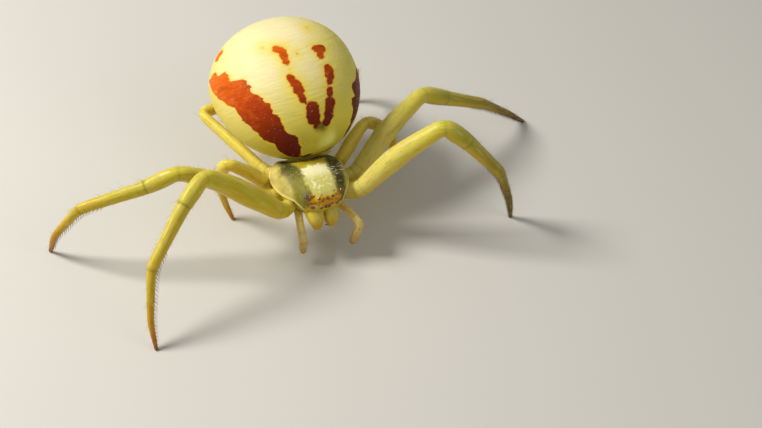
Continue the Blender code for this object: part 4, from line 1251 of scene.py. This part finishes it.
def camera_axes():
    """The camera's right, up and backward directions, from its turn, height and roll."""
    turn, height, roll = np.radians((CAMERA_TURN, CAMERA_HEIGHT, CAMERA_ROLL))
    back = np.array([np.sin(turn) * np.cos(height), -np.cos(turn) * np.cos(height), np.sin(height)])
    level = np.array([np.cos(turn), np.sin(turn), 0.0])
    upright = np.cross(back, level)
    right = level * np.cos(roll) + upright * np.sin(roll)
    return right, np.cross(back, right), back


def build_camera():
    """A camera that sees the spider as from the picture's viewpoint, at the picture's scale."""
    right, up, back = camera_axes()
    over = (PROSOMA_IN_PICTURE[0] - PICTURE[0] / 2) / PIXELS_PER_MM
    down = (PROSOMA_IN_PICTURE[1] - PICTURE[1] / 2) / PIXELS_PER_MM
    look_at = PROSOMA - right * over + up * down
    place = (look_at + back * CAMERA_DISTANCE + SHIFT) * MM
    data = bpy.data.cameras.new("camera")
    data.sensor_width = SENSOR
    data.lens = SENSOR * PIXELS_PER_MM * CAMERA_DISTANCE / PICTURE[0]
    data.clip_start = 0.005
    camera = bpy.data.objects.new("camera", data)
    matrix = Matrix.Identity(4)
    for column, axis in enumerate((right, up, back)):
        for row in range(3):
            matrix[row][column] = axis[row]
    matrix.translation = place
    camera.matrix_world = matrix
    bpy.context.scene.collection.objects.link(camera)
    bpy.context.scene.camera = camera


def build_light(name, way, distance, size, power, colour):
    """A square soft light that faces the spider from a direction given as right, up and towards us."""
    right, up, back = camera_axes()
    way = unit(right * way[0] + up * way[1] + back * way[2])
    data = bpy.data.lights.new(name, "AREA")
    data.size = size * MM
    data.energy = power
    data.color = colour
    light = bpy.data.objects.new(name, data)
    matrix = Matrix.Identity(4)
    side = unit(np.cross([0.0, 0.0, 1.0], way))
    for column, axis in enumerate((side, np.cross(way, side), way)):
        for row in range(3):
            matrix[row][column] = axis[row]
    matrix.translation = (PROSOMA + SHIFT + way * distance) * MM
    light.matrix_world = matrix
    bpy.context.scene.collection.objects.link(light)


def build_stage():
    """A wide pale floor under the spider's feet."""
    turn = np.arange(96) * 2 * np.pi / 96
    points = np.stack([np.cos(turn), np.sin(turn), 0.0 * turn], axis=1) * 0.6
    mesh = bpy.data.meshes.new("floor")
    mesh.from_pydata(points.tolist(), [], [list(range(96))])
    floor = bpy.data.objects.new("floor", mesh)
    material, tree, shader = new_material("floor_finish", 0.85, 0.0)
    colour = mix(tree, object_noise(tree, 30.0), (0.6, 0.59, 0.57), (0.64, 0.63, 0.61))
    tree.links.new(colour, shader.inputs["Base Color"])
    mesh.materials.append(material)
    bpy.context.scene.collection.objects.link(floor)


def build_world():
    """A pale, even surrounding."""
    world = bpy.data.worlds.new("surrounding")
    world.use_nodes = True
    background = world.node_tree.nodes["Background"]
    background.inputs["Color"].default_value = (1.0, 0.97, 0.9, 1.0)
    background.inputs["Strength"].default_value = 0.3
    bpy.context.scene.world = world
    bpy.context.scene.view_settings.view_transform = "Standard"


def main():
    cuticle, ragged = cuticle_group(), ragged_group()
    build_prosoma(carapace_material(cuticle, ragged))
    build_eyes(eye_material())
    build_abdomen(abdomen_material(cuticle, ragged))
    hair = hair_material("pale_hair", (0.86, 0.82, 0.62), (0.95, 0.93, 0.82))
    spine = hair_material("dark_spine", (0.05, 0.022, 0.01), (0.16, 0.08, 0.03))
    claw = hair_material("claw_horn", (0.02, 0.01, 0.006), (0.07, 0.03, 0.012))
    build_carapace_bristles(hair)
    build_abdomen_hairs(hair)
    fine = hair_material("leg_hair", (0.42, 0.31, 0.04), (0.72, 0.6, 0.22))
    build_face_hairs(fine, claw)
    jaw = limb_material("jaw_finish", cuticle, JAW, amber=0.15)
    for side, name in ((1, "left"), (-1, "right")):
        limb = chelicera(side)
        build_limb(f"jaw_{name}", limb, PALP_GRID, (0.0, limb.line.length), jaw, (f"chelicera_{name}",),
                   jaws_together)
    build_mouthparts(jaw)
    build_pedicel(jaw)
    build_spinnerets(jaw)
    palp_skin = limb_material("palp_finish", cuticle, PALP, 0.4, (0.7, 0.6, 0.3), (0.42, 0.28, 0.06), 0.1)
    for name in PALPS:
        limb = palp(name)
        build_limb(name, limb, PALP_GRID, (0.0, limb.line.length), palp_skin,
                   (f"{name}_upper", f"{name}_lower"))
    # Painted light and shade: a lit copy for the front legs on her right, and a shaded copy with a stronger painted
    # underside glow for those on her left.
    right = limb_material("right_leg_lit_finish", cuticle, FRONT_RIGHT_LIT)
    left = limb_material("left_leg_shaded_finish", cuticle, FRONT_LEFT_SHADED, 0.36, (0.6, 0.56, 0.07), (0.34, 0.29, 0.003), 0.8)
    hind = limb_material("hind_leg_finish", cuticle, HIND)
    finishes = dict(right_1=right, right_2=right, left_1=left, left_2=left)
    for name in STANCES:
        limb, stations = leg(name)
        nodes = (f"{part}_{name}" for part in ("coxa", "femur", "tibia", "foot"))
        build_limb(f"leg_{name}", limb, LEG_GRID, stations, finishes.get(name, hind), nodes)
        build_leg_hairs(name, limb, stations, fine, spine)
        build_claws(name, limb, claw)
    build_camera()
    build_light("key", (-0.6, 0.55, 0.58), 90.0, 24.0, 0.088, (1.0, 0.96, 0.88))
    build_light("fill", (0.8, 0.1, 0.7), 110.0, 70.0, 0.016, (1.0, 0.96, 0.86))
    build_stage()
    build_world()


main()
